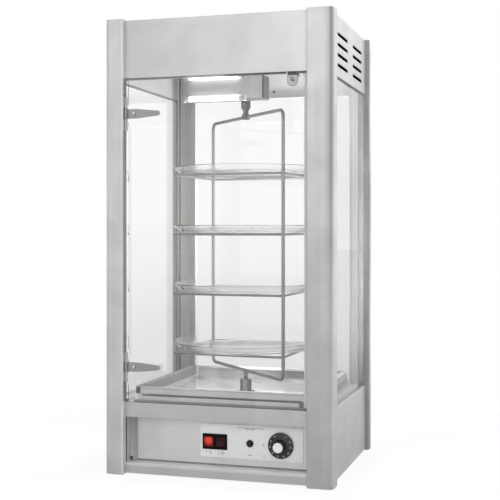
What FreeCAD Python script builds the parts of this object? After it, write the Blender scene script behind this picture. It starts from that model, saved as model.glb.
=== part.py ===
import FreeCAD, Part
import os
import Sketcher

# Heated food display case with a turning rack: four corner posts, a glazed warming chamber,
# a hood that holds the drive and the lamps, and a base that holds the heater and the controls.
# Frame: X to the right, Y to the back, Z up; the origin is the middle of the footprint.

doc = FreeCAD.newDocument("heated_display_case")
sheet = doc.addObject("Spreadsheet::Sheet", "Sheet")
sheet_row = 1


class Size:
    """A length of the case: its number and the sheet formula it comes from."""

    def __init__(self, number, formula):
        self.number = number
        self.formula = formula

    def __add__(self, other):
        other = as_size(other)
        return Size(self.number + other.number, "(%s + %s)" % (self.formula, other.formula))

    def __sub__(self, other):
        other = as_size(other)
        return Size(self.number - other.number, "(%s - %s)" % (self.formula, other.formula))

    def __mul__(self, other):
        other = as_size(other)
        return Size(self.number * other.number, "(%s * %s)" % (self.formula, other.formula))

    def __truediv__(self, other):
        other = as_size(other)
        return Size(self.number / other.number, "(%s / %s)" % (self.formula, other.formula))

    def __neg__(self):
        return self * -1

    __radd__ = __add__
    __rmul__ = __mul__

    def __rsub__(self, other):
        return as_size(other) - self


def as_size(value):
    if isinstance(value, Size):
        return value
    return Size(float(value), "(%s)" % repr(float(value)))


def size(name, number):
    """One driving dimension: a row of the sheet with its name beside its value."""
    global sheet_row
    sheet.set("A%d" % sheet_row, name)
    sheet.set("B%d" % sheet_row, str(number))
    sheet.setAlias("B%d" % sheet_row, name)
    sheet_row += 1
    return Size(float(number), "Sheet.%s" % name)


# Whole case and its corner posts
case_width = size("case_width", 462)
case_depth = size("case_depth", 408)
case_height = size("case_height", 900)
post_sheet = size("post_sheet", 1.5)
post_bend = size("post_bend", 11)
post_leg = size("post_leg", 51)
side_leg = size("side_leg", 40)
hinge_leg = size("hinge_leg", 39)
front_lip = size("front_lip", 16)
side_lip = size("side_lip", 12)
lip_bend = size("lip_bend", 2.5)
foot_plate = size("foot_plate", 2)

# Folded panels of the hood and the base
panel_sheet = size("panel_sheet", 1.2)
front_setback = size("front_setback", 12)
side_setback = size("side_setback", 8)
top_setback = size("top_setback", 3)
base_setback = size("base_setback", 2)
base_top = size("base_top", 142)
hood_front_drop = size("hood_front_drop", 116.5)
hood_side_drop = size("hood_side_drop", 120)
ceiling_drop = size("ceiling_drop", 55)
seat_flange = size("seat_flange", 28)
joint_flange = size("joint_flange", 8)
hood_flange = size("hood_flange", 16)
sheet_gap = size("sheet_gap", 0.5)
slot_length = size("slot_length", 99)
slot_height = size("slot_height", 7.2)
slot_pitch = size("slot_pitch", 20)
slot_drop = size("slot_drop", 97)
slot_offset = size("slot_offset", 75)

# Front of the base
rail_low = size("rail_low", 23)
rail_face = size("rail_face", 29)
panel_recess = size("panel_recess", 27)
cheek_gap = size("cheek_gap", 4)

# Panes and door
glass_thick = size("glass_thick", 4)
glass_overlap = size("glass_overlap", 12)
door_thick = size("door_thick", 5)
door_gap = size("door_gap", 2)
hinge_radius = size("hinge_radius", 3)
hinge_pin = size("hinge_pin", 3)
hinge_fit = size("hinge_fit", 0.06)
hinge_sheet = size("hinge_sheet", 1.5)
hinge_reach = size("hinge_reach", 4)
hinge_upper_drop = size("hinge_upper_drop", 187)
hinge_lower_rise = size("hinge_lower_rise", 70)
upper_leaf = size("upper_leaf", 68)
lower_leaf = size("lower_leaf", 58)
strap_length = size("strap_length", 70)
strap_root = size("strap_root", 19)
strap_tip = size("strap_tip", 9)
stud_hole = size("stud_hole", 6)
strike_inset = size("strike_inset", 31)
strike_width = size("strike_width", 20)
strike_height = size("strike_height", 22)
catch_height = size("catch_height", 6.5)
catch_depth = size("catch_depth", 13)

# Turning rack with its dishes
rack_clearance = size("rack_clearance", 37)
rack_rod = size("rack_rod", 7)
rack_corner = size("rack_corner", 9)
rack_drop = size("rack_drop", 180)
rack_lift = size("rack_lift", 17.5)
rack_turn = size("rack_turn", -47)
shelf_lift = size("shelf_lift", 45)
shelf_pitch = size("shelf_pitch", 121)
shelf_wire = size("shelf_wire", 5)
shelf_inset = size("shelf_inset", 1.1)
shelf_corner = size("shelf_corner", 5)
peg_height = size("peg_height", 15)
dish_gap = size("dish_gap", 15)
dish_flare = size("dish_flare", 14)
dish_height = size("dish_height", 16)
dish_wall = size("dish_wall", 4)
shaft_diameter = size("shaft_diameter", 10)
coupling_diameter = size("coupling_diameter", 20)
coupling_lift = size("coupling_lift", 15)
coupling_length = size("coupling_length", 23)
pivot_diameter = size("pivot_diameter", 8)
turn_fit = size("turn_fit", 0.06)
hub_diameter = size("hub_diameter", 24)
hub_height = size("hub_height", 26.8)
hub_flange = size("hub_flange", 36)

# Floor pan
pan_side_gap = size("pan_side_gap", 33.5)
pan_end_gap = size("pan_end_gap", 18)
pan_depth = size("pan_depth", 26.8)
pan_sheet = size("pan_sheet", 1)
pan_lip = size("pan_lip", 12)
pan_hem = size("pan_hem", 13)
pan_corner = size("pan_corner", 18)
deck_edge = size("deck_edge", 10)
deck_lip = size("deck_lip", 13)
deck_lip_inset = size("deck_lip_inset", 18)

# Lamp fitting and drive in the hood
batten_middle = size("batten_middle", -33.5)
batten_length = size("batten_length", 169)
batten_drop = size("batten_drop", 92)
batten_height = size("batten_height", 47)
batten_front = size("batten_front", -54)
batten_back = size("batten_back", -14)
socket_length = size("socket_length", 6)
socket_half = size("socket_half", 6.5)
tube_diameter = size("tube_diameter", 11)
tube_length = size("tube_length", 124)
tube_spread = size("tube_spread", 22.4)
bracket_inset = size("bracket_inset", 36)
bracket_flange = size("bracket_flange", 20)
motor_side = size("motor_side", 62)
motor_height = size("motor_height", 40)
gear_height = size("gear_height", 22)

# Controls
plate_inset = size("plate_inset", 15)
plate_width = size("plate_width", 208)
plate_rise = size("plate_rise", 15)
plate_drop = size("plate_drop", 9)
plate_sheet = size("plate_sheet", 1)
switch_inset = size("switch_inset", 30)
switch_width = size("switch_width", 25)
switch_height = size("switch_height", 30.2)
switch_side_rim = size("switch_side_rim", 3.4)
switch_end_rim = size("switch_end_rim", 5)
control_rise = size("control_rise", 31)
rocker_tilt = size("rocker_tilt", 9)
pilot_inset = size("pilot_inset", 101.5)
pilot_diameter = size("pilot_diameter", 13)
knob_inset = size("knob_inset", 44.2)
knob_skirt = size("knob_skirt", 50)
knob_grip = size("knob_grip", 26)
spindle_diameter = size("spindle_diameter", 6)

# Heater and wiring in the base
element_drop = size("element_drop", 28)
element_length = size("element_length", 280)
element_width = size("element_width", 38)
element_thick = size("element_thick", 10)
hanger_place = size("hanger_place", 30)
hanger_foot = size("hanger_foot", 16)
terminal_length = size("terminal_length", 44)
terminal_depth = size("terminal_depth", 22)
terminal_height = size("terminal_height", 16)
terminal_gap = size("terminal_gap", 10)
terminal_inset = size("terminal_inset", 80)
gland_inset = size("gland_inset", 30)
gland_level = size("gland_level", 50)
gland_bore = size("gland_bore", 9)

doc.recompute()

zero = as_size(0)
half_width = case_width / 2
half_depth = case_depth / 2
side_face = half_width - side_setback
liner_face = side_face - joint_flange
front_face = -half_depth + front_setback
rear_face = half_depth - front_setback
skin_top = case_height - top_setback
left_stile = -half_width + hinge_leg
right_stile = half_width - post_leg
side_stile = half_depth - side_leg
pane_side = half_width - side_lip
pane_rear = half_depth - front_lip
hood_front_edge = case_height - hood_front_drop
hood_side_edge = case_height - hood_side_drop
hood_ceiling = case_height - ceiling_drop
slot_first = case_height - slot_drop
rail_high = base_top - rail_face
deck_top = base_top + panel_sheet
door_low = base_top + door_gap
door_high = hood_front_edge - door_gap
hinge_upper = case_height - hinge_upper_drop
hinge_lower = base_top + hinge_lower_rise
strike_middle = right_stile - strike_inset
pan_half_width = pane_side - glass_thick - pan_side_gap
pan_half_depth = rear_face - pan_end_gap
pan_rim = deck_top + pan_depth
hub_top = deck_top + hub_height
diagonal = 0.7071067811865476
rack_radius = half_depth - rack_clearance
rack_top = case_height - rack_drop
rack_bottom = hub_top + rack_lift
shelf_first = rack_bottom + shelf_lift
shelf_half = rack_radius * diagonal - shelf_inset
dish_rim = rack_radius - dish_gap
dish_base = dish_rim - dish_flare
coupling_low = rack_top + coupling_lift
coupling_high = coupling_low + coupling_length
batten_left = batten_middle - batten_length / 2
batten_right = batten_middle + batten_length / 2
batten_low = hood_ceiling - batten_drop
batten_high = batten_low + batten_height
plate_right = right_stile - plate_inset
plate_left = plate_right - plate_width
plate_low = rail_low + plate_rise
plate_high = rail_high - plate_drop
control_level = plate_low + control_rise
switch_middle = plate_left + switch_inset
pilot_middle = plate_left + pilot_inset
knob_middle = plate_right - knob_inset
element_low = base_top - element_drop
gland_middle = right_stile - gland_inset


def bind(item, name, value):
    item.setExpression(name, as_size(value).formula)


def move(item, x, y, z):
    bind(item, "Placement.Base.x", x)
    bind(item, "Placement.Base.y", y)
    bind(item, "Placement.Base.z", z)


def block(name, x, y, z):
    """A straight-sided piece between two limits along each axis."""
    item = doc.addObject("Part::Box", name)
    bind(item, "Length", x[1] - x[0])
    bind(item, "Width", y[1] - y[0])
    bind(item, "Height", z[1] - z[0])
    move(item, x[0], y[0], z[0])
    return item


def round_bar(name, axis, centre, radius, low, high):
    """A cylinder along one axis; centre gives the two other coordinates in order."""
    item = doc.addObject("Part::Cylinder", name)
    bind(item, "Radius", radius)
    bind(item, "Height", high - low)
    if axis == "x":
        item.Placement.Rotation = FreeCAD.Rotation(FreeCAD.Vector(0, 1, 0), 90)
        move(item, low, centre[0], centre[1])
    elif axis == "y":
        item.Placement.Rotation = FreeCAD.Rotation(FreeCAD.Vector(1, 0, 0), -90)
        move(item, centre[0], low, centre[1])
    else:
        move(item, centre[0], centre[1], low)
    return item


def joined(name, pieces):
    item = doc.addObject("Part::MultiFuse", name)
    item.Shapes = pieces
    item.Refine = True
    return item


def cut_away(name, base, tool):
    item = doc.addObject("Part::Cut", name)
    item.Base = base
    item.Tool = tool
    item.Refine = True
    return item


def new_body(name):
    return doc.addObject("PartDesign::Body", name)


def new_sketch(body, name, role, offset=None):
    item = body.newObject("Sketcher::SketchObject", name)
    plane = [each for each in body.Origin.OriginFeatures if each.Role == role][0]
    item.AttachmentSupport = [(plane, "")]
    item.MapMode = "FlatFace"
    if offset is not None:
        bind(item, "AttachmentOffset.Base.z", offset)
    return item


def fix_point(sketch, line, end, point):
    for kind, value in (("DistanceX", point[0]), ("DistanceY", point[1])):
        value = as_size(value)
        number = sketch.addConstraint(Sketcher.Constraint(kind, -1, 1, line, end, value.number))
        sketch.setExpression("Constraints[%d]" % number, value.formula)


def polygon(sketch, points):
    """A closed outline with straight sides, each corner held by its two coordinates."""
    points = [(as_size(point[0]), as_size(point[1])) for point in points]
    vectors = [FreeCAD.Vector(point[0].number, point[1].number, 0) for point in points]
    first = sketch.GeometryCount
    for index in range(len(points)):
        sketch.addGeometry(Part.LineSegment(vectors[index], vectors[(index + 1) % len(points)]), False)
    for index in range(len(points)):
        following = first + (index + 1) % len(points)
        sketch.addConstraint(Sketcher.Constraint("Coincident", first + index, 2, following, 1))
        fix_point(sketch, first + index, 1, points[index])


def circle(sketch, centre, radius):
    centre = (as_size(centre[0]), as_size(centre[1]))
    radius = as_size(radius)
    middle = FreeCAD.Vector(centre[0].number, centre[1].number, 0)
    index = sketch.addGeometry(Part.Circle(middle, FreeCAD.Vector(0, 0, 1), radius.number), False)
    fix_point(sketch, index, 3, centre)
    number = sketch.addConstraint(Sketcher.Constraint("Radius", index, radius.number))
    sketch.setExpression("Constraints[%d]" % number, radius.formula)


def rounded_loop(sketch, x, y, radius):
    """A closed rectangle with rounded corners."""
    x0, x1, y0, y1, radius = [as_size(value) for value in (x[0], x[1], y[0], y[1], radius)]
    sides = (((x0 + radius, y0), (x1 - radius, y0)), ((x1, y0 + radius), (x1, y1 - radius)),
             ((x1 - radius, y1), (x0 + radius, y1)), ((x0, y1 - radius), (x0, y0 + radius)))
    first = sketch.GeometryCount
    for start, end in sides:
        line = Part.LineSegment(FreeCAD.Vector(start[0].number, start[1].number, 0),
                                FreeCAD.Vector(end[0].number, end[1].number, 0))
        sketch.addGeometry(line, False)
    for index, (start, end) in enumerate(sides):
        fix_point(sketch, first + index, 1, start)
        fix_point(sketch, first + index, 2, end)
    centres = ((x1 - radius, y0 + radius), (x1 - radius, y1 - radius),
               (x0 + radius, y1 - radius), (x0 + radius, y0 + radius))
    for index, centre in enumerate(centres):
        ring = Part.Circle(FreeCAD.Vector(centre[0].number, centre[1].number, 0),
                           FreeCAD.Vector(0, 0, 1), radius.number)
        quarter = 1.5707963267948966
        arc = sketch.addGeometry(Part.ArcOfCircle(ring, quarter * (index - 1), quarter * index), False)
        sketch.addConstraint(Sketcher.Constraint("Coincident", arc, 1, first + index, 2))
        sketch.addConstraint(Sketcher.Constraint("Coincident", arc, 2, first + (index + 1) % 4, 1))
        number = sketch.addConstraint(Sketcher.Constraint("Radius", arc, radius.number))
        sketch.setExpression("Constraints[%d]" % number, radius.formula)


def slot_outline(sketch, x, y):
    """A slot along the sketch's first axis, closed by a half circle at each end."""
    radius = (y[1] - y[0]) / 2
    middle = (y[0] + y[1]) / 2
    low = (x[0] + radius, x[1] - radius)
    for level in y:
        line = Part.LineSegment(FreeCAD.Vector(low[0].number, level.number, 0),
                                FreeCAD.Vector(low[1].number, level.number, 0))
        index = sketch.addGeometry(line, False)
        fix_point(sketch, index, 1, (low[0], level))
        fix_point(sketch, index, 2, (low[1], level))
    quarter = 1.5707963267948966
    ends = ((low[1], -quarter, quarter, 2), (low[0], quarter, 3 * quarter, 1))
    for place, start, stop, end in ends:
        ring = Part.Circle(FreeCAD.Vector(place.number, middle.number, 0), FreeCAD.Vector(0, 0, 1), radius.number)
        arc = sketch.addGeometry(Part.ArcOfCircle(ring, start, stop), False)
        lower, upper = (1, 2) if start < 0 else (2, 1)
        sketch.addConstraint(Sketcher.Constraint("Coincident", arc, lower, 0, end))
        sketch.addConstraint(Sketcher.Constraint("Coincident", arc, upper, 1, end))
        held = sketch.addConstraint(Sketcher.Constraint("DistanceX", -1, 1, arc, 3, place.number))
        sketch.setExpression("Constraints[%d]" % held, place.formula)


def wire_loop(body, name, profile, path, x, y, corner):
    """Round wire bent to a closed rectangle whose corners are short mitred runs."""
    polygon(path, [(x[0] + corner, y[0]), (x[1] - corner, y[0]), (x[1], y[0] + corner), (x[1], y[1] - corner),
                   (x[1] - corner, y[1]), (x[0] + corner, y[1]), (x[0], y[1] - corner), (x[0], y[0] + corner)])
    item = body.newObject("PartDesign::AdditivePipe", name)
    item.Profile = profile
    item.Spine = (path, [])
    item.Transition = "Right corner"
    return item


def pad(body, name, sketch, length):
    item = body.newObject("PartDesign::Pad", name)
    item.Profile = sketch
    bind(item, "Length", length)
    return item


def pocket_through(body, name, sketch):
    item = body.newObject("PartDesign::Pocket", name)
    item.Profile = sketch
    item.Type = 1
    item.Midplane = True
    return item


def revolve(body, name, sketch, axis):
    item = body.newObject("PartDesign::Revolution", name)
    item.Profile = sketch
    item.ReferenceAxis = (sketch, [axis])
    item.Angle = 360
    return item


def upright_edges(shape, places):
    """Names of the edges that run along Z at the given places in plan."""
    names = []
    for number, edge in enumerate(shape.Edges, 1):
        ends = [vertex.Point for vertex in edge.Vertexes]
        if len(ends) != 2 or abs(ends[0].z - ends[1].z) < 1:
            continue
        for place in places:
            spot = FreeCAD.Vector(place[0].number, place[1].number, 0)
            if max((FreeCAD.Vector(end.x, end.y, 0) - spot).Length for end in ends) < 0.01:
                names.append("Edge%d" % number)
    return names


def fillet(body, name, base, edges, radius):
    item = body.newObject("PartDesign::Fillet", name)
    item.Base = (base, edges)
    bind(item, "Radius", radius)
    return item


def turned_with_rack(item, extra=0):
    """The rack is shown parked on the diagonal of the case."""
    item.Placement.Rotation = FreeCAD.Rotation(FreeCAD.Vector(0, 0, 1), rack_turn.number + extra)
    bind(item, "Placement.Rotation.Angle", rack_turn + extra)
    return item


nodes = []


def node(item, name):
    item.Label = name
    nodes.append(item)
    return item


# Corner posts: sheet bent to an angle with a return lip on both free edges and a welded foot plate.
# The front left post is narrower in front because the door hangs on it.
def corner_post(name, side, end, leg):
    def place(inward, back):
        return ((half_width - inward) * side, (half_depth - back) * end)

    inner = post_sheet
    outline = [(leg, front_lip), (leg, zero), (zero, zero), (zero, side_leg), (side_lip, side_leg),
               (side_lip, side_leg - inner), (inner, side_leg - inner), (inner, inner),
               (leg - inner, inner), (leg - inner, front_lip)]
    body = new_body("%s_body" % name)
    section = new_sketch(body, "%s_section" % name, "XY_Plane")
    polygon(section, [place(*point) for point in outline])
    column = pad(body, "%s_column" % name, section, case_height)
    doc.recompute()
    corner = fillet(body, "%s_corner" % name, column,
                    upright_edges(column.Shape, [place(zero, zero)]), post_bend)
    doc.recompute()
    inside = fillet(body, "%s_inside" % name, corner,
                    upright_edges(corner.Shape, [place(inner, inner)]), post_bend - post_sheet)
    doc.recompute()
    lips = fillet(body, "%s_lips" % name, inside,
                  upright_edges(inside.Shape, [place(leg, zero), place(zero, side_leg)]), lip_bend)
    doc.recompute()
    throat = fillet(body, "%s_throat" % name, lips,
                    upright_edges(lips.Shape, [place(leg - inner, inner), place(inner, side_leg - inner)]),
                    lip_bend - post_sheet)
    body.Tip = throat
    sole = new_body("%s_sole_body" % name)
    plan = new_sketch(sole, "%s_sole_plan" % name, "XY_Plane")
    far_side = leg - inner - lip_bend
    far_end = side_leg - inner - lip_bend
    polygon(plan, [place(inner + post_bend, inner), place(far_side, inner), place(far_side, far_end),
                   place(inner, far_end), place(inner, inner + post_bend)])
    pad(sole, "%s_sole" % name, plan, foot_plate)
    return node(joined(name, [body, sole]), name)


corner_post("post_front_left", -1, -1, hinge_leg)
corner_post("post_front_right", 1, -1, post_leg)
corner_post("post_rear_left", -1, 1, post_leg)
corner_post("post_rear_right", 1, 1, post_leg)


# Folded panels across the width: a face with flanges turned inward along all four edges.
def cross_panel(name, left, right, face, inward, low, high, low_flange, high_flange):
    def run(depth):
        inner = face + depth * inward
        if inward > 0:
            return (face, inner)
        return (inner, face)

    pieces = [block("%s_face" % name, (left, right), run(panel_sheet), (low, high)),
              block("%s_low" % name, (left, right), run(low_flange), (low, low + panel_sheet)),
              block("%s_high" % name, (left, right), run(high_flange), (high - panel_sheet, high)),
              block("%s_left_end" % name, (left, left + panel_sheet), run(joint_flange), (low, high)),
              block("%s_right_end" % name, (right - panel_sheet, right), run(joint_flange), (low, high))]
    return joined(name, pieces)


node(cross_panel("hood_front_panel", left_stile, right_stile, front_face, 1, hood_front_edge, skin_top,
                 seat_flange, hood_flange), "hood_front_panel")
node(cross_panel("hood_rear_panel", -right_stile, right_stile, rear_face, -1, hood_side_edge, skin_top,
                 hood_flange, hood_flange), "hood_rear_panel")
node(cross_panel("front_upper_rail", left_stile, right_stile, front_face, 1, rail_high, base_top,
                 panel_recess + hood_flange, seat_flange), "front_upper_rail")
node(cross_panel("front_lower_rail", left_stile, right_stile, front_face, 1, base_setback, rail_low,
                 hood_flange, panel_recess + hood_flange), "front_lower_rail")


# Side panels of the hood: folded like a narrow U over the pane, with the vents through the outer skin only.
# The inner skin carries the ceiling plate on its turned-in top edge.
def hood_side(name, side):
    def run(outer, inner):
        if side > 0:
            return (inner, outer)
        return (-outer, -inner)

    body = new_body("%s_skin" % name)
    outline = new_sketch(body, "%s_outline" % name, "YZ_Plane", (side_face - panel_sheet / 2) * side)
    polygon(outline, [(-side_stile, hood_side_edge), (side_stile, hood_side_edge),
                      (side_stile, skin_top), (-side_stile, skin_top)])
    skin = pad(body, "%s_face" % name, outline, panel_sheet)
    skin.Midplane = True
    vent = new_sketch(body, "%s_vent" % name, "YZ_Plane", (side_face - panel_sheet / 2) * side)
    slot_outline(vent, (-slot_offset - slot_length / 2, -slot_offset + slot_length / 2),
                 (slot_first - slot_height / 2, slot_first + slot_height / 2))
    slot = pocket_through(body, "%s_slot" % name, vent)
    rows = body.newObject("PartDesign::LinearPattern", "%s_rows" % name)
    rows.Direction = (vent, ["V_Axis"])
    bind(rows, "Length", slot_pitch * 3)
    rows.Occurrences = 4
    columns = body.newObject("PartDesign::LinearPattern", "%s_columns" % name)
    columns.Direction = (vent, ["H_Axis"])
    bind(columns, "Length", slot_offset * 2)
    columns.Occurrences = 2
    grid = body.newObject("PartDesign::MultiTransform", "%s_vents" % name)
    grid.Originals = [slot]
    grid.Transformations = [rows, columns]
    body.Tip = grid
    span = (-side_stile, side_stile)
    pieces = [body,
              block("%s_web" % name, run(side_face, liner_face), span,
                    (hood_side_edge, hood_side_edge + panel_sheet)),
              block("%s_inner" % name, run(liner_face + panel_sheet, liner_face), span,
                    (hood_side_edge, hood_ceiling)),
              block("%s_ledge" % name, run(liner_face + panel_sheet, liner_face - hood_flange), span,
                    (hood_ceiling - panel_sheet, hood_ceiling)),
              block("%s_top" % name, run(side_face, side_face - hood_flange + sheet_gap * 4), span,
                    (skin_top - panel_sheet, skin_top))]
    for tag, start in (("front", -side_stile), ("rear", side_stile - panel_sheet)):
        pieces.append(block("%s_%s_end" % (name, tag), run(side_face, side_face - joint_flange),
                            (start, start + panel_sheet), (hood_side_edge, skin_top)))
    return node(joined(name, pieces), name)


hood_side("hood_left_panel", -1)
hood_side("hood_right_panel", 1)


# Side and rear panels of the base: their wide top flanges seat the panes and the floor deck.
def base_side(name, side):
    def run(outer, inner):
        if side > 0:
            return (inner, outer)
        return (-outer, -inner)

    span = (-side_stile, side_stile)
    pieces = [block("%s_face" % name, run(side_face, side_face - panel_sheet), span, (base_setback, base_top)),
              block("%s_seat" % name, run(side_face, side_face - seat_flange), span,
                    (base_top - panel_sheet, base_top)),
              block("%s_foot" % name, run(side_face, side_face - hood_flange), span,
                    (base_setback, base_setback + panel_sheet))]
    for tag, start in (("front", -side_stile), ("rear", side_stile - panel_sheet)):
        pieces.append(block("%s_%s_end" % (name, tag), run(side_face, side_face - joint_flange),
                            (start, start + panel_sheet), (base_setback, base_top)))
    return node(joined(name, pieces), name)


base_side("base_left_panel", -1)
base_side("base_right_panel", 1)
rear_base = cross_panel("base_rear_shell", -right_stile, right_stile, rear_face, -1, base_setback, base_top,
                        hood_flange, seat_flange)
gland_hole = round_bar("gland_hole", "y", (gland_middle, gland_level), gland_bore / 2 + 3.5,
                       rear_face - joint_flange, rear_face + joint_flange)
node(cut_away("base_rear_panel", rear_base, gland_hole), "base_rear_panel")


# Top cover: one sheet notched around the lips of the four posts.
def cover_corner(side, end, leg):
    gap = sheet_gap
    wall = post_sheet + gap
    points = [(leg + gap, front_setback), (leg + gap, front_lip + gap),
              (leg - wall, front_lip + gap), (leg - wall, wall), (post_bend + wall, wall),
              (wall, post_bend + wall), (wall, side_leg - wall), (side_lip + gap, side_leg - wall),
              (side_lip + gap, side_leg + gap), (side_setback, side_leg + gap)]
    return [((half_width - point[0]) * side, (half_depth - point[1]) * end) for point in points]


cover = new_body("top_cover")
cover_plan = new_sketch(cover, "cover_plan", "XY_Plane", skin_top)
polygon(cover_plan, cover_corner(-1, -1, hinge_leg) + cover_corner(-1, 1, post_leg)[::-1]
        + cover_corner(1, 1, post_leg) + cover_corner(1, -1, post_leg)[::-1])
pad(cover, "cover_sheet", cover_plan, panel_sheet)
node(cover, "top_cover")

# Ceiling of the chamber: a sheet on the ledges of the hood sides, bored for the drive shaft.
ceiling_half_width = liner_face
ceiling_half_depth = side_stile + joint_flange
ceiling = new_body("ceiling_plate")
ceiling_plan = new_sketch(ceiling, "ceiling_plan", "XY_Plane", hood_ceiling)
polygon(ceiling_plan, [(-ceiling_half_width, -ceiling_half_depth), (ceiling_half_width, -ceiling_half_depth),
                       (ceiling_half_width, ceiling_half_depth), (-ceiling_half_width, ceiling_half_depth)])
circle(ceiling_plan, (0, 0), shaft_diameter / 2 + 2)
pad(ceiling, "ceiling_sheet", ceiling_plan, panel_sheet)
node(ceiling, "ceiling_plate")

# Control panel: set back between the two rails, with cheeks turned forward to the posts
# and flanges turned back under the upper rail and over the lower rail.
control_face = front_face + panel_recess
panel_back = control_face + panel_sheet
cheek_front = front_face + (front_lip - front_setback) + cheek_gap
panel_skin = new_body("control_skin")
panel_outline = new_sketch(panel_skin, "control_outline", "XZ_Plane", -panel_back)
polygon(panel_outline, [(left_stile, rail_low), (right_stile, rail_low), (right_stile, rail_high),
                        (left_stile, rail_high)])
switch_open_x = switch_width - 1.1
switch_open_z = switch_height - 1.6
for shift in (-0.5, 0.5):
    opening_middle = switch_middle + switch_width * shift
    polygon(panel_outline, [(opening_middle - switch_open_x / 2, control_level - switch_open_z / 2),
                            (opening_middle + switch_open_x / 2, control_level - switch_open_z / 2),
                            (opening_middle + switch_open_x / 2, control_level + switch_open_z / 2),
                            (opening_middle - switch_open_x / 2, control_level + switch_open_z / 2)])
neck_hole = spindle_diameter / 2 + 2.4
pilot_hole = pilot_diameter / 2 - 1.2
circle(panel_outline, (pilot_middle, control_level), pilot_hole)
circle(panel_outline, (knob_middle, control_level), neck_hole)
pad(panel_skin, "control_sheet", panel_outline, panel_sheet)
panel_pieces = [panel_skin,
                block("control_top", (left_stile, right_stile), (control_face, control_face + hood_flange),
                      (rail_high - panel_sheet, rail_high)),
                block("control_bottom", (left_stile, right_stile), (control_face, control_face + hood_flange),
                      (rail_low, rail_low + panel_sheet)),
                block("control_left", (left_stile, left_stile + panel_sheet), (cheek_front, panel_back),
                      (rail_low, rail_high)),
                block("control_right", (right_stile - panel_sheet, right_stile), (cheek_front, panel_back),
                      (rail_low, rail_high))]
node(joined("control_panel", panel_pieces), "control_panel")

# Bottom plate of the base, on the lower flanges of the four sides.
plate_half_width = side_face - joint_flange - sheet_gap
plate_half_depth = rear_face - joint_flange - sheet_gap
bottom_level = base_setback + panel_sheet
node(block("base_plate", (-plate_half_width, plate_half_width), (-plate_half_depth, plate_half_depth),
           (bottom_level, bottom_level + panel_sheet)), "base_plate")

# Floor deck: a sheet on the wide flanges, its edges turned up to hold the panes from inside
# and, in front, to keep crumbs off the door.
deck_half_width = pane_side - glass_thick - sheet_gap
deck_front = front_face + door_thick + 3
deck_rear = pane_rear - glass_thick - sheet_gap
deck_side_half = side_stile - sheet_gap
deck_sheet = new_body("deck_sheet")
deck_plan = new_sketch(deck_sheet, "deck_plan", "XY_Plane", base_top)
polygon(deck_plan, [(left_stile + sheet_gap * 2, deck_front), (right_stile - sheet_gap * 2, deck_front),
                    (right_stile - sheet_gap * 2, -deck_side_half), (deck_half_width, -deck_side_half),
                    (deck_half_width, deck_side_half), (right_stile - sheet_gap * 2, deck_side_half),
                    (right_stile - sheet_gap * 2, deck_rear), (-right_stile + sheet_gap * 2, deck_rear),
                    (-right_stile + sheet_gap * 2, deck_side_half), (-deck_half_width, deck_side_half),
                    (-deck_half_width, -deck_side_half), (left_stile + sheet_gap * 2, -deck_side_half)])
stem_hole = shaft_diameter / 2 + 0.4
circle(deck_plan, (0, 0), stem_hole)
pad(deck_sheet, "deck_face", deck_plan, panel_sheet)
deck_pieces = [deck_sheet,
               block("deck_left_edge", (-deck_half_width, -deck_half_width + panel_sheet),
                     (-deck_side_half, deck_side_half), (base_top, base_top + deck_edge)),
               block("deck_right_edge", (deck_half_width - panel_sheet, deck_half_width),
                     (-deck_side_half, deck_side_half), (base_top, base_top + deck_edge)),
               block("deck_rear_edge", (-right_stile + sheet_gap * 2, right_stile - sheet_gap * 2),
                     (deck_rear - panel_sheet, deck_rear), (base_top, base_top + deck_edge)),
               block("deck_front_edge", (left_stile + deck_lip_inset, right_stile - deck_lip_inset),
                     (deck_front, deck_front + panel_sheet), (base_top, base_top + deck_lip))]
node(joined("floor_deck", deck_pieces), "floor_deck")


# Crumb pan: a drawn tray with a wide rim hemmed down all round, lifted out over the hub.
def rounded_block(name, half_x, half_y, low, high, radius):
    body = new_body(name)
    plan = new_sketch(body, "%s_plan" % name, "XY_Plane", low)
    rounded_loop(plan, (-half_x, half_x), (-half_y, half_y), radius)
    pad(body, "%s_solid" % name, plan, high - low)
    return body


pan_inner_x = pan_half_width - pan_lip
pan_inner_y = pan_half_depth - pan_lip
tub_corner = pan_corner - pan_lip
pan_tub = cut_away("pan_tub",
                   rounded_block("pan_tub_outer", pan_inner_x, pan_inner_y, deck_top, pan_rim, tub_corner),
                   rounded_block("pan_tub_inner", pan_inner_x - pan_sheet, pan_inner_y - pan_sheet,
                                 deck_top + pan_sheet, pan_rim + 1, tub_corner - pan_sheet))
rim_outer = rounded_block("pan_rim_outer", pan_half_width, pan_half_depth, pan_rim - pan_hem, pan_rim,
                          pan_corner)
rim_inner = rounded_block("pan_rim_inner", pan_half_width - pan_sheet, pan_half_depth - pan_sheet,
                          pan_rim - pan_hem - 1, pan_rim - pan_sheet, pan_corner - pan_sheet)
rim_mouth = rounded_block("pan_rim_mouth", pan_inner_x - pan_sheet, pan_inner_y - pan_sheet,
                          pan_rim - pan_hem - 2, pan_rim + 1, tub_corner - pan_sheet)
pan_rim_shell = cut_away("pan_rim_shell", cut_away("pan_rim_hollow", rim_outer, rim_inner), rim_mouth)
pan_drawn = joined("pan_drawn", [pan_tub, pan_rim_shell])
pan_hole = round_bar("pan_hole", "z", (zero, zero), hub_flange / 2 + 1.5, deck_top - 1, deck_top + 5)
node(cut_away("drip_pan", pan_drawn, pan_hole), "drip_pan")

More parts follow.
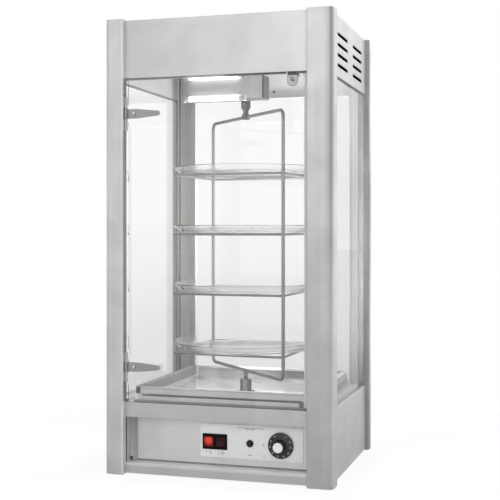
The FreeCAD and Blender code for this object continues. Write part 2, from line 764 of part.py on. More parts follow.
# Fixed panes: they stand on the base flanges, against the post lips and under the hood.
pane_half_depth = side_stile + glass_overlap
pane_half_width = right_stile + glass_overlap
node(block("glass_left", (-pane_side, -pane_side + glass_thick), (-pane_half_depth, pane_half_depth),
           (base_top, hood_side_edge)), "glass_left")
node(block("glass_right", (pane_side - glass_thick, pane_side), (-pane_half_depth, pane_half_depth),
           (base_top, hood_side_edge)), "glass_right")
node(block("glass_rear", (-pane_half_width, pane_half_width), (pane_rear - glass_thick, pane_rear),
           (base_top, hood_side_edge)), "glass_rear")

# Door: one frameless pane hung on two strap hinges, bored for their studs and for the strike.
hinge_x = left_stile + hinge_sheet * 0.4 + hinge_radius
hinge_y = front_face - hinge_reach
door_left = hinge_x + door_gap + 0.5
door_right = right_stile - door_gap - 0.5
door_inner = front_face + door_thick
stud_x = hinge_x + strap_length * 0.22
strike_level = door_high - strike_height / 2
door = new_body("door_glass")
door_outline = new_sketch(door, "door_outline", "XZ_Plane", -door_inner)
polygon(door_outline, [(door_left, door_low), (door_right, door_low), (door_right, door_high),
                       (door_left, door_high)])
circle(door_outline, (stud_x, hinge_upper), stud_hole / 2)
circle(door_outline, (stud_x, hinge_lower), stud_hole / 2)
circle(door_outline, (strike_middle, strike_level), stud_hole / 2)
pad(door, "door_pane", door_outline, door_thick)
node(door, "door_glass")


# Strap hinges: a leaf on the lip of the post with two outer knuckles and a riveted pin,
# and a tapered strap on the pane with the middle knuckle and its stud.
def strap_hinge(tag, level, leaf_height):
    knuckle = leaf_height / 5
    gap = 0.4
    pin_radius = hinge_pin / 2
    middle_low = level - knuckle * 0.8
    middle_high = level + knuckle * 0.8
    leaf_low = level - leaf_height / 2
    leaf_high = level + leaf_height / 2
    leaf_pieces = [block("leaf_%s_plate" % tag, (left_stile, left_stile + hinge_sheet),
                         (hinge_y + hinge_radius + gap, front_face + 4), (leaf_low, leaf_high)),
                   round_bar("leaf_%s_pin" % tag, "z", (hinge_x, hinge_y), pin_radius, leaf_low, leaf_high)]
    for end, low, high in (("low", leaf_low, middle_low - gap), ("high", middle_high + gap, leaf_high)):
        leaf_pieces.append(round_bar("leaf_%s_%s_knuckle" % (tag, end), "z", (hinge_x, hinge_y),
                                     hinge_radius, low, high))
        leaf_pieces.append(block("leaf_%s_%s_tab" % (tag, end), (left_stile, left_stile + hinge_sheet),
                                 (hinge_y - hinge_radius - 2, front_face + 4), (low, high)))
    node(joined("hinge_leaf_%s" % tag, leaf_pieces), "hinge_leaf_%s" % tag)

    strap = new_body("strap_%s_body" % tag)
    outline = new_sketch(strap, "strap_%s_outline" % tag, "XZ_Plane", -front_face)
    tip_x = hinge_x + strap_length
    polygon(outline, [(hinge_x, level - strap_root / 2), (hinge_x + strap_length * 0.3, level - strap_root / 2),
                      (tip_x - 2, level - strap_tip / 2), (tip_x, level - strap_tip / 2 + 2),
                      (tip_x, level + strap_tip / 2 - 2), (tip_x - 2, level + strap_tip / 2),
                      (hinge_x + strap_length * 0.3, level + strap_root / 2), (hinge_x, level + strap_root / 2)])
    pad(strap, "strap_%s_plate" % tag, outline, hinge_sheet)
    barrel = round_bar("strap_%s_barrel" % tag, "z", (hinge_x, hinge_y), hinge_radius, middle_low, middle_high)
    neck = block("strap_%s_neck" % tag, (hinge_x, hinge_x + hinge_radius), (hinge_y, front_face),
                 (level - strap_root / 2, level + strap_root / 2))
    stud = round_bar("strap_%s_stud" % tag, "y", (stud_x, level), stud_hole / 2 - 1,
                     front_face - hinge_sheet, door_inner + 3)
    head = round_bar("strap_%s_head" % tag, "y", (stud_x, level), stud_hole / 2 + 1.5,
                     front_face - hinge_sheet - 2, front_face - hinge_sheet)
    nut = round_bar("strap_%s_nut" % tag, "y", (stud_x, level), stud_hole / 2 + 2, door_inner, door_inner + 3)
    solid = joined("strap_%s_solid" % tag, [strap, barrel, neck, stud, head, nut])
    bore = round_bar("strap_%s_bore" % tag, "z", (hinge_x, hinge_y), pin_radius + hinge_fit,
                     leaf_low - 1, leaf_high + 1)
    node(cut_away("hinge_strap_%s" % tag, solid, bore), "hinge_strap_%s" % tag)


strap_hinge("upper", hinge_upper, upper_leaf)
strap_hinge("lower", hinge_lower, lower_leaf)

# Strike: a steel tab with a rounded lower end on the back of the pane, drawn by the catch.
strike_half = strike_width / 2
tab = block("strike_tab", (strike_middle - strike_half, strike_middle + strike_half),
            (door_inner, door_inner + hinge_sheet), (strike_level, door_high - 1))
tab_end = round_bar("strike_end", "y", (strike_middle, strike_level), strike_half, door_inner,
                    door_inner + hinge_sheet)
strike_stud = round_bar("strike_stud", "y", (strike_middle, strike_level), stud_hole / 2 - 0.6,
                        front_face - 1.5, door_inner + hinge_sheet)
strike_head = round_bar("strike_head", "y", (strike_middle, strike_level), stud_hole / 2 + 1.2,
                        front_face - 1.5, front_face)
node(joined("strike_plate", [tab, tab_end, strike_stud, strike_head]), "strike_plate")

# Magnetic catch: a black block under the front flange of the hood, just behind the strike.
catch_front = door_inner + hinge_sheet + 0.4
node(block("magnetic_catch", (strike_middle - strike_half, strike_middle + strike_half),
           (catch_front, catch_front + catch_depth), (hood_front_edge - catch_height, hood_front_edge)),
     "magnetic_catch")

# Turning rack: one rod bent to a tall loop, with a drive stub on its top bar
# and a pivot pin under its bottom bar.
rod_radius = rack_rod / 2
loop = new_body("rack_loop")
run = new_sketch(loop, "rack_run", "XZ_Plane")
ring = new_sketch(loop, "rack_section", "YZ_Plane", -rack_radius + rack_corner)
circle(ring, (0, rack_bottom), rod_radius)
wire_loop(loop, "rack_rod_bent", ring, run, (-rack_radius, rack_radius), (rack_bottom, rack_top), rack_corner)
stub_top = coupling_low + (coupling_high - coupling_low) / 2 - 0.5
stub = round_bar("rack_stub", "z", (zero, zero), shaft_diameter / 2, rack_top, stub_top)
pin_end = hub_top - 17
pin = round_bar("rack_pin", "z", (zero, zero), pivot_diameter / 2, pin_end, rack_bottom)
node(turned_with_rack(joined("rack_frame", [loop, stub, pin])), "rack_frame")

# Shelf frames: square wire loops welded between the uprights, with a peg at both free corners.
# Each carries a round glass dish that is set down between the pegs and the uprights.
wire_radius = shelf_wire / 2
peg_place = shelf_half - shelf_corner / 2
for number in range(1, 5):
    level = shelf_first + shelf_pitch * (number - 1)
    wire = new_body("shelf_wire_%d" % number)
    path = new_sketch(wire, "shelf_path_%d" % number, "XY_Plane", level)
    section = new_sketch(wire, "shelf_section_%d" % number, "YZ_Plane", -shelf_half + shelf_corner)
    circle(section, (-shelf_half, level), wire_radius)
    wire_loop(wire, "shelf_square_%d" % number, section, path, (-shelf_half, shelf_half),
              (-shelf_half, shelf_half), shelf_corner)
    peg_parts = [wire]
    for tag, sign in (("front", -1), ("rear", 1)):
        peg_parts.append(round_bar("shelf_%s_peg_%d" % (tag, number), "z", (peg_place * sign, peg_place * sign),
                                   wire_radius - 0.3, level, level + peg_height))
    welded = joined("shelf_welded_%d" % number, peg_parts)
    rods = []
    for tag, sign in (("near", 1), ("far", -1)):
        rods.append(round_bar("shelf_%s_rod_%d" % (tag, number), "z",
                              (rack_radius * diagonal * sign, -rack_radius * diagonal * sign),
                              rod_radius, level - 10, level + 10))
    saddle = joined("shelf_saddle_%d" % number, rods)
    node(turned_with_rack(cut_away("shelf_frame_%d" % number, welded, saddle), 45), "shelf_frame_%d" % number)

    dish = new_body("dish_%d" % number)
    profile = new_sketch(dish, "dish_profile_%d" % number, "XZ_Plane")
    low = level + wire_radius
    high = low + dish_height
    polygon(profile, [(0, low), (dish_base, low), (dish_rim, high - dish_wall), (dish_rim, high),
                      (dish_rim - dish_wall, high), (dish_base - dish_wall / 4, low + dish_wall),
                      (0, low + dish_wall)])
    revolve(dish, "dish_turned_%d" % number, profile, "V_Axis")
    node(turned_with_rack(dish), "dish_%d" % number)

# Drive: a gearmotor on the ceiling plate, its shaft and the sleeve that grips the rack stub.
motor_low = hood_ceiling + panel_sheet
shaft_low = coupling_low + (coupling_high - coupling_low) / 2 + 0.5
shaft_high = motor_low + 24
sleeve_body = new_body("drive_coupling")
sleeve_profile = new_sketch(sleeve_body, "sleeve_profile", "XZ_Plane")
sleeve_bore = shaft_diameter / 2 + turn_fit
sleeve_radius = coupling_diameter / 2
polygon(sleeve_profile, [(sleeve_bore, coupling_low), (sleeve_radius - 2, coupling_low),
                         (sleeve_radius - 2, coupling_low + 3), (sleeve_radius, coupling_low + 3),
                         (sleeve_radius, coupling_high), (sleeve_bore, coupling_high)])
revolve(sleeve_body, "sleeve_turned", sleeve_profile, "V_Axis")
node(turned_with_rack(sleeve_body), "drive_coupling")
node(turned_with_rack(round_bar("drive_shaft", "z", (zero, zero), shaft_diameter / 2, shaft_low, shaft_high)),
     "drive_shaft")
motor_half = motor_side / 2
gear_case = block("gear_case", (-motor_half, motor_half), (-motor_half, motor_half),
                  (motor_low, motor_low + gear_height))
motor_can = round_bar("motor_can", "z", (zero, zero), motor_half - 4, motor_low + gear_height - 2,
                      motor_low + motor_height)
motor_solid = joined("motor_solid", [gear_case, motor_can])
motor_bore = round_bar("motor_bore", "z", (zero, zero), shaft_diameter / 2 + turn_fit, motor_low - 1,
                       shaft_high + 1)
node(cut_away("gearmotor", motor_solid, motor_bore), "gearmotor")

# Pivot hub: a turned bearing on the floor deck, its stem through the deck, that takes the rack pin.
hub_body = new_body("pivot_hub")
hub_profile = new_sketch(hub_body, "hub_profile", "XZ_Plane")
hub_bore = pivot_diameter / 2 + turn_fit
bore_floor = pin_end - 0.6
hub_radius = hub_diameter / 2
stem_radius = shaft_diameter / 2
polygon(hub_profile, [(0, deck_top - 9), (stem_radius, deck_top - 9), (stem_radius, deck_top),
                      (hub_flange / 2, deck_top), (hub_flange / 2, deck_top + 2), (hub_radius, deck_top + 2),
                      (hub_radius, hub_top), (hub_bore, hub_top), (hub_bore, bore_floor), (0, bore_floor)])
revolve(hub_body, "hub_turned", hub_profile, "V_Axis")
node(hub_body, "pivot_hub")

# Twin lamp fitting: a batten with two tubes along the edges of its front, each in a pair of holders.
tube_left = batten_left + socket_length
tube_right = tube_left + tube_length
tube_y = batten_front - tube_diameter / 2 - 2
tube_upper = batten_low + batten_height / 2 + tube_spread
tube_lower = batten_low + batten_height / 2 - tube_spread
batten_pieces = [block("batten_case", (batten_left, batten_right), (batten_front, batten_back),
                       (batten_low, batten_high))]
for tag, level in (("upper", tube_upper), ("lower", tube_lower)):
    for end, start in (("left", batten_left), ("right", tube_right)):
        batten_pieces.append(block("holder_%s_%s" % (tag, end), (start, start + socket_length),
                                   (tube_y - socket_half, batten_front),
                                   (level - socket_half, level + socket_half)))
node(joined("lamp_batten", batten_pieces), "lamp_batten")
for tag, level in (("upper", tube_upper), ("lower", tube_lower)):
    node(round_bar("lamp_tube_%s" % tag, "x", (tube_y, level), tube_diameter / 2, tube_left, tube_right),
         "lamp_tube_%s" % tag)
bracket_left = batten_left + bracket_inset
bracket_right = batten_right - bracket_inset
bracket = [block("bracket_plate", (bracket_left, bracket_right), (batten_back, batten_back + panel_sheet),
                 (batten_low + 3, hood_ceiling)),
           block("bracket_flange", (bracket_left, bracket_right),
                 (batten_back - bracket_flange, batten_back + panel_sheet),
                 (hood_ceiling - panel_sheet, hood_ceiling))]
node(joined("lamp_bracket", bracket), "lamp_bracket")

# Control plate: the light overlay on the control panel, cut like the panel behind it.
plate_front = control_face - plate_sheet
overlay = new_body("control_plate")
overlay_outline = new_sketch(overlay, "overlay_outline", "XZ_Plane", -control_face)
polygon(overlay_outline, [(plate_left, plate_low), (plate_right, plate_low), (plate_right, plate_high),
                          (plate_left, plate_high)])
for shift in (-0.5, 0.5):
    opening_middle = switch_middle + switch_width * shift
    polygon(overlay_outline, [(opening_middle - switch_open_x / 2, control_level - switch_open_z / 2),
                              (opening_middle + switch_open_x / 2, control_level - switch_open_z / 2),
                              (opening_middle + switch_open_x / 2, control_level + switch_open_z / 2),
                              (opening_middle - switch_open_x / 2, control_level + switch_open_z / 2)])
circle(overlay_outline, (pilot_middle, control_level), pilot_hole)
circle(overlay_outline, (knob_middle, control_level), neck_hole)
pad(overlay, "overlay_sheet", overlay_outline, plate_sheet)
node(overlay, "control_plate")

# Switch pair: two rocker frames moulded side by side, each with its body through the panel.
bezel_front = plate_front - 2
switch_back = panel_back + 22
frame_pieces = [block("switch_bezel", (switch_middle - switch_width, switch_middle + switch_width),
                      (bezel_front, plate_front),
                      (control_level - switch_height / 2, control_level + switch_height / 2))]
rocker_wells = []
well_half_x = switch_width / 2 - switch_side_rim
well_half_z = switch_height / 2 - switch_end_rim
for tag, shift in (("left", -0.5), ("right", 0.5)):
    well_middle = switch_middle + switch_width * shift
    frame_pieces.append(block("switch_case_%s" % tag,
                              (well_middle - switch_width / 2 + 0.9, well_middle + switch_width / 2 - 0.9),
                              (plate_front, switch_back),
                              (control_level - switch_open_z / 2 + 0.3, control_level + switch_open_z / 2 - 0.3)))
    rocker_wells.append(block("switch_well_%s" % tag, (well_middle - well_half_x, well_middle + well_half_x),
                              (bezel_front - 1, bezel_front + 13),
                              (control_level - well_half_z, control_level + well_half_z)))
node(cut_away("switch_housing", joined("switch_frames", frame_pieces), joined("switch_wells", rocker_wells)),
     "switch_housing")


# Rockers: a paddle hollowed along its face, tilting about a cross axis just inside the bezel.
rocker_axis = bezel_front + 1.5
rocker_half_x = well_half_x - 0.4
rocker_half_z = well_half_z - 0.9
for tag, shift, sign in (("left", -0.5, 1), ("right", 0.5, -1)):
    paddle = new_body("rocker_%s" % tag)
    side_view = new_sketch(paddle, "rocker_%s_profile" % tag, "YZ_Plane", -rocker_half_x)
    polygon(side_view, [(4, -rocker_half_z + 3), (4, rocker_half_z - 3), (0, rocker_half_z),
                        (-3.6, rocker_half_z), (-2.2, 0), (-3.6, -rocker_half_z), (0, -rocker_half_z)])
    pad(paddle, "rocker_%s_solid" % tag, side_view, rocker_half_x * 2)
    paddle.Placement.Rotation = FreeCAD.Rotation(FreeCAD.Vector(1, 0, 0), rocker_tilt.number * sign)
    bind(paddle, "Placement.Rotation.Angle", rocker_tilt * sign)
    move(paddle, switch_middle + switch_width * shift, rocker_axis, control_level)
    node(paddle, "rocker_%s" % tag)


# Turned pieces of the controls lie along Y: profiles are drawn as radius against reach to the front.
def turned_control(name, middle, points):
    body = new_body(name)
    profile = new_sketch(body, "%s_profile" % name, "XY_Plane")
    polygon(profile, points)
    revolve(body, "%s_turned" % name, profile, "V_Axis")
    move(body, middle, zero, control_level)
    return node(body, name)


# Pilot lamp: a domed lens in a flanged body pushed through the panel.
pilot_radius = pilot_diameter / 2
pilot_stem = pilot_hole - 0.3
turned_control("pilot_lamp", pilot_middle,
               [(0, panel_back + 20), (pilot_stem, panel_back + 20), (pilot_stem, plate_front),
                (pilot_radius, plate_front), (pilot_radius, plate_front - 2),
                (pilot_radius - 1.2, plate_front - 2), (pilot_radius - 2.4, plate_front - 5.4),
                (0, plate_front - 5.4)])

# Thermostat: a control body behind the panel, its neck through the panel and its turning spindle.
knob_back = plate_front - 2
spindle_front = knob_back - 14
spindle_back = panel_back + 12
thermostat_case = block("thermostat_case", (knob_middle - 18, knob_middle + 18), (panel_back, panel_back + 26),
                        (control_level - 18, control_level + 18))
thermostat_neck = round_bar("thermostat_neck", "y", (knob_middle, control_level), neck_hole - 0.4,
                            plate_front - 0.5, panel_back + 1)
spindle_bore = round_bar("spindle_bore", "y", (knob_middle, control_level), spindle_diameter / 2 + turn_fit,
                         plate_front - 2, spindle_back + 1)
node(cut_away("thermostat", joined("thermostat_solid", [thermostat_case, thermostat_neck]), spindle_bore),
     "thermostat")
node(round_bar("thermostat_spindle", "y", (knob_middle, control_level), spindle_diameter / 2, spindle_front,
               spindle_back), "thermostat_spindle")

# Knob: a dial skirt and a tapered grip with grooves round it, pressed on the spindle, under a light cap.
grip_radius = knob_grip / 2
cap_radius = 9.5
grip_front = knob_back - 21
knob = new_body("knob")
knob_profile = new_sketch(knob, "knob_profile", "XY_Plane")
knob_bore = spindle_diameter / 2 + turn_fit
polygon(knob_profile, [(knob_bore, knob_back), (knob_skirt / 2, knob_back), (knob_skirt / 2, knob_back - 1.8),
                       (grip_radius, knob_back - 5), (grip_radius - 2.5, grip_front), (0, grip_front),
                       (0, spindle_front - 0.5),
                       (knob_bore, spindle_front - 0.5)])
revolve(knob, "knob_turned", knob_profile, "V_Axis")
flute_plan = new_sketch(knob, "knob_flute", "XZ_Plane", -grip_front)
polygon(flute_plan, [(grip_radius - 1.2, 0), (grip_radius + 2, -2), (grip_radius + 2, 2)])
flute = knob.newObject("PartDesign::Pocket", "knob_groove")
flute.Profile = flute_plan
flute.Length = 15
flutes = knob.newObject("PartDesign::PolarPattern", "knob_grooves")
flutes.Originals = [flute]
flutes.Axis = (flute_plan, ["N_Axis"])
flutes.Angle = 360
flutes.Occurrences = 10
knob.Tip = flutes
move(knob, knob_middle, zero, control_level)
node(knob, "knob")
turned_control("knob_cap", knob_middle,
               [(0, grip_front), (cap_radius, grip_front), (cap_radius, grip_front - 2.2),
                (0, grip_front - 2.2)])

# Heating element: a flat sheathed strip heater under the floor deck, with two terminal posts at one end.
element_half = element_length / 2
strip_half = element_width / 2
element_high = element_low + element_thick
element_pieces = [block("element_strip", (-element_half, element_half), (-strip_half, strip_half),
                        (element_low, element_high))]
post_radius = element_thick * 0.3
for tag, row in (("front", -strip_half / 2), ("rear", strip_half / 2)):
    element_pieces.append(round_bar("element_%s_post" % tag, "z", (element_half - element_thick, row), post_radius,
                                    element_low - element_thick, element_low))
node(joined("heating_element", element_pieces), "heating_element")

# Element hanger: a strap folded under the strip heater, its two feet turned out against the deck.
strap_span = (hanger_place, hanger_place + hanger_foot)
strap_inner = strip_half + sheet_gap
strap_outer = strap_inner + panel_sheet
strap_low = element_low - panel_sheet
hanger_pieces = [block("hanger_seat", strap_span, (-strap_outer, strap_outer), (strap_low, element_low))]
for tag, side in (("front", -1), ("rear", 1)):
    leg = (strap_inner, strap_outer) if side > 0 else (-strap_outer, -strap_inner)
    foot = (strap_inner, strap_outer + hanger_foot) if side > 0 else (-strap_outer - hanger_foot, -strap_inner)
    hanger_pieces.append(block("hanger_%s_leg" % tag, strap_span, leg, (strap_low, base_top)))
    hanger_pieces.append(block("hanger_%s_foot" % tag, strap_span, foot, (base_top - panel_sheet, base_top)))
node(joined("element_hanger", hanger_pieces), "element_hanger")

# Terminal block on the bottom plate, and the gland where the supply lead would enter.
block_floor = bottom_level + panel_sheet
terminal_right = gland_middle - terminal_gap
terminal_span = (terminal_right - terminal_length, terminal_right)
terminal_back = rear_face - terminal_inset
ridge_step = terminal_depth / 3
terminal_pieces = [block("terminal_case", terminal_span, (terminal_back - terminal_depth, terminal_back),
                         (block_floor, block_floor + terminal_height)),
                   block("terminal_ridge", terminal_span,
                         (terminal_back - ridge_step * 2, terminal_back - ridge_step),
                         (block_floor + terminal_height, block_floor + terminal_height + 6))]
node(joined("terminal_block", terminal_pieces), "terminal_block")
gland_radius = gland_bore / 2
gland = new_body("cable_gland")
gland_profile = new_sketch(gland, "gland_profile", "XY_Plane")
polygon(gland_profile, [(gland_radius, rear_face - 14), (gland_radius + 3, rear_face - 14),
                        (gland_radius + 3, rear_face), (gland_radius + 6.5, rear_face),
                        (gland_radius + 6.5, rear_face + 4), (gland_radius + 4, rear_face + 4),
                        (gland_radius + 4, rear_face + 10.5), (gland_radius, rear_face + 10.5)])
revolve(gland, "gland_turned", gland_profile, "V_Axis")
move(gland, gland_middle, zero, gland_level)
node(gland, "cable_gland")

doc.recompute()

faults = []
for item in doc.Objects:
    if "Invalid" in item.State or "Error" in item.State:
        faults.append("%s is not built" % item.Name)
for item in nodes:
    if item.Shape.isNull() or not item.Shape.isValid():
        faults.append("%s has no sound shape" % item.Label)
    elif len(item.Shape.Solids) != 1:
        faults.append("%s has %d solids" % (item.Label, len(item.Shape.Solids)))
if faults:
    raise RuntimeError("; ".join(faults))

os.makedirs("parts", exist_ok=True)
for item in nodes:
    item.Shape.exportStep(os.path.join("parts", "%s.step" % item.Label))
    limits = item.Shape.BoundBox
    print("%-20s %8.1f mm3  x %7.1f %7.1f  y %7.1f %7.1f  z %7.1f %7.1f" % (
        item.Label, item.Shape.Volume, limits.XMin, limits.XMax, limits.YMin, limits.YMax,
        limits.ZMin, limits.ZMax))
print(len(nodes), "pieces")
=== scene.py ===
import bmesh
import bpy
import math
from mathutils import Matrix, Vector


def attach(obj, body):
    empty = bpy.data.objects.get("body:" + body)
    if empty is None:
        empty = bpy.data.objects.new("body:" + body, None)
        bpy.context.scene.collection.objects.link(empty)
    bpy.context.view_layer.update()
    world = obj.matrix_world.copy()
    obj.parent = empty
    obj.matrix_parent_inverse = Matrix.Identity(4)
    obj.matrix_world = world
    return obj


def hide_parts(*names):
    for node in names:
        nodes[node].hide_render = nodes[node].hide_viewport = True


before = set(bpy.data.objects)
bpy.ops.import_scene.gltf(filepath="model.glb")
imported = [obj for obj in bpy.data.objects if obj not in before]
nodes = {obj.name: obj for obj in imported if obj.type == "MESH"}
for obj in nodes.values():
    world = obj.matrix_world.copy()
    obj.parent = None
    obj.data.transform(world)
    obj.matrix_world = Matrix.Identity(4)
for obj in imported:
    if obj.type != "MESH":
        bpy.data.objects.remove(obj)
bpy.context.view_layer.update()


# Corner posts: stainless sheet folded to an angle with a return lip on both free edges.
# The satin finish is a fine belt grain that runs up the posts, with soft smears from handling.
# Each post has its own tone, painted light and shade for how the light falls on it, and some faces are
# shaded by place, as the light falls in the photograph.
def shader_group(name, inputs, outputs):
    """A new node group with its sockets."""
    group = bpy.data.node_groups.new(name, "ShaderNodeTree")
    for label, kind, value in inputs:
        socket = group.interface.new_socket(label, in_out="INPUT", socket_type=kind)
        if value is not None:
            socket.default_value = value
    for label, kind in outputs:
        group.interface.new_socket(label, in_out="OUTPUT", socket_type=kind)
    return group, group.nodes.new("NodeGroupInput"), group.nodes.new("NodeGroupOutput")


def spread(tree, value, low, high, to_low, to_high):
    """Map a value from one range to another, held at both ends."""
    node = tree.nodes.new("ShaderNodeMapRange")
    tree.links.new(value, node.inputs["Value"])
    for label, number in (("From Min", low), ("From Max", high), ("To Min", to_low), ("To Max", to_high)):
        node.inputs[label].default_value = number
    return node.outputs["Result"]


def noise(tree, vector, scale, detail, rough=0.5):
    """A cloudy value between 0 and 1."""
    node = tree.nodes.new("ShaderNodeTexNoise")
    tree.links.new(vector, node.inputs["Vector"])
    node.inputs["Scale"].default_value = scale
    node.inputs["Detail"].default_value = detail
    node.inputs["Roughness"].default_value = rough
    return node.outputs["Fac"]


grain_group, grain_in, grain_out = shader_group(
    "belt_grain", [("Vector", "NodeSocketVector", None)],
    [("Streak", "NodeSocketFloat"), ("Height", "NodeSocketFloat")])
broad = noise(grain_group, grain_in.outputs["Vector"], 0.22, 3, 0.6)
fine = noise(grain_group, grain_in.outputs["Vector"], 2.2, 5, 0.7)
streaks = grain_group.nodes.new("ShaderNodeMath")
streaks.operation = "MULTIPLY_ADD"
streaks.inputs[1].default_value = 0.6
grain_group.links.new(broad, streaks.inputs[0])
grain_group.links.new(spread(grain_group, fine, 0.25, 0.75, 0, 0.4), streaks.inputs[2])
grain_group.links.new(streaks.outputs[0], grain_out.inputs["Streak"])
grain_group.links.new(fine, grain_out.inputs["Height"])

smear_group, smear_in, smear_out = shader_group(
    "handling_smears", [("Vector", "NodeSocketVector", None), ("Size", "NodeSocketFloat", 7.0)],
    [("Smear", "NodeSocketFloat")])
cloud = smear_group.nodes.new("ShaderNodeTexNoise")
cloud.inputs["Detail"].default_value = 4
cloud.inputs["Distortion"].default_value = 0.8
smear_group.links.new(smear_in.outputs["Vector"], cloud.inputs["Vector"])
smear_group.links.new(smear_in.outputs["Size"], cloud.inputs["Scale"])
smear_group.links.new(spread(smear_group, cloud.outputs["Fac"], 0.38, 0.7, 0, 1), smear_out.inputs["Smear"])

edge_group, edge_in, edge_out = shader_group(
    "rubbed_edges", [("Width", "NodeSocketFloat", 0.0015)],
    [("Edge", "NodeSocketFloat"), ("Normal", "NodeSocketVector")])
rounding = edge_group.nodes.new("ShaderNodeBevel")
rounding.samples = 4
edge_group.links.new(edge_in.outputs["Width"], rounding.inputs["Radius"])
facing = edge_group.nodes.new("ShaderNodeNewGeometry")
agree = edge_group.nodes.new("ShaderNodeVectorMath")
agree.operation = "DOT_PRODUCT"
edge_group.links.new(rounding.outputs["Normal"], agree.inputs[0])
edge_group.links.new(facing.outputs["Normal"], agree.inputs[1])
edge_group.links.new(spread(edge_group, agree.outputs["Value"], 0.99, 0.8, 0, 1), edge_out.inputs["Edge"])
edge_group.links.new(rounding.outputs["Normal"], edge_out.inputs["Normal"])


def new_material(name):
    """A new finish with its node tree and its shader."""
    material = bpy.data.materials.new(name)
    material.use_nodes = True
    return material, material.node_tree, material.node_tree.nodes["Principled BSDF"]


def placed_group(tree, group, **values):
    """A node group set into a finish, with its inputs linked or set."""
    node = tree.nodes.new("ShaderNodeGroup")
    node.node_tree = group
    for label, value in values.items():
        if isinstance(value, bpy.types.NodeSocket):
            tree.links.new(value, node.inputs[label])
        else:
            node.inputs[label].default_value = value
    return node


def object_place(tree, scale=(1, 1, 1)):
    """The place on the piece, in metres unless it is scaled."""
    place = tree.nodes.new("ShaderNodeTexCoord")
    mapping = tree.nodes.new("ShaderNodeMapping")
    mapping.inputs["Scale"].default_value = scale
    tree.links.new(place.outputs["Object"], mapping.inputs["Vector"])
    return mapping.outputs["Vector"]


def blend_colour(tree, factor, first, second):
    """One colour that goes from the first to the second with a factor."""
    node = tree.nodes.new("ShaderNodeMix")
    node.data_type = "RGBA"
    for socket, value in ((node.inputs[0], factor), (node.inputs[6], first), (node.inputs[7], second)):
        if isinstance(value, bpy.types.NodeSocket):
            tree.links.new(value, socket)
        else:
            socket.default_value = value
    return node.outputs[2]


def sums(tree, first, second, operation="ADD"):
    """Simple arithmetic on two values."""
    node = tree.nodes.new("ShaderNodeMath")
    node.operation = operation
    for socket, value in zip(node.inputs, (first, second)):
        if isinstance(value, bpy.types.NodeSocket):
            tree.links.new(value, socket)
        else:
            socket.default_value = value
    return node.outputs[0]


def bumped(tree, shader, height, strength, distance, normal=None):
    """Raise the surface by a height, on top of a normal if one is given."""
    node = tree.nodes.new("ShaderNodeBump")
    node.inputs["Strength"].default_value = strength
    node.inputs["Distance"].default_value = distance
    tree.links.new(height, node.inputs["Height"])
    if normal is not None:
        tree.links.new(normal, node.inputs["Normal"])
    tree.links.new(node.outputs["Normal"], shader.inputs["Normal"])


ACROSS_GRAIN = 260
ALONG_GRAIN = 2.2
STEEL_SMEAR_SIZE = 11.0
SMEAR_SHARE = 0.36
SMEAR_TONE = 0.82
SMEAR_DULLING = 0.07
RUBBED_SHARE = 0.5
RUBBED_TONE = 1.15
GRAIN_STRENGTH = 0.08
GRAIN_DEPTH = 0.0002


def belt_finished(name, along, dark, light, rough=(0.34, 0.46), edge=0.0012, metal=0.7):
    """Steel with a belt grain along one axis, smears, and paler rubbed edges."""
    material, tree, shader = new_material(name)
    scale = [ACROSS_GRAIN] * 3
    scale["XYZ".index(along)] = ALONG_GRAIN
    grain = placed_group(tree, grain_group, Vector=object_place(tree, scale))
    smear = placed_group(tree, smear_group, Vector=object_place(tree), Size=STEEL_SMEAR_SIZE)
    rubbed = placed_group(tree, edge_group, Width=edge)
    colour = blend_colour(tree, grain.outputs["Streak"], (*dark, 1), (*light, 1))
    smeared = sums(tree, smear.outputs["Smear"], SMEAR_SHARE, "MULTIPLY")
    colour = blend_colour(tree, smeared, colour, (*[value * SMEAR_TONE for value in dark], 1))
    worn = sums(tree, rubbed.outputs["Edge"], RUBBED_SHARE, "MULTIPLY")
    colour = blend_colour(tree, worn, colour, (*[min(1, value * RUBBED_TONE) for value in light], 1))
    tree.links.new(colour, shader.inputs["Base Color"])
    polish = spread(tree, grain.outputs["Streak"], 0.2, 0.8, *rough)
    polish = sums(tree, polish, sums(tree, smear.outputs["Smear"], SMEAR_DULLING, "MULTIPLY"))
    tree.links.new(polish, shader.inputs["Roughness"])
    shader.inputs["Metallic"].default_value = metal
    bumped(tree, shader, grain.outputs["Height"], GRAIN_STRENGTH, GRAIN_DEPTH, rubbed.outputs["Normal"])
    return material


def shaded(material, tone, *limits):
    """Paint light or shade into a finish: multiply it by a tone where every limit holds, an axis with where
    it starts and is full.
    """
    tree = material.node_tree
    colour = tree.nodes["Principled BSDF"].inputs["Base Color"]
    axes = tree.nodes.new("ShaderNodeSeparateXYZ")
    tree.links.new(object_place(tree), axes.inputs[0])
    share = 1.0
    for axis, begin, full in limits:
        ends = (0, 1) if full > begin else (1, 0)
        part = spread(tree, axes.outputs[axis], min(begin, full), max(begin, full), *ends)
        share = sums(tree, share, part, "MULTIPLY")
    toned = blend_colour(tree, share, colour.links[0].from_socket, (tone, tone, tone, 1))
    toned.node.blend_type = "MULTIPLY"
    tree.links.new(toned, colour)
    return material


def dress(material, *names):
    """Give a finish to solids of the part."""
    for name in names:
        nodes[name].material_slots[0].material = material


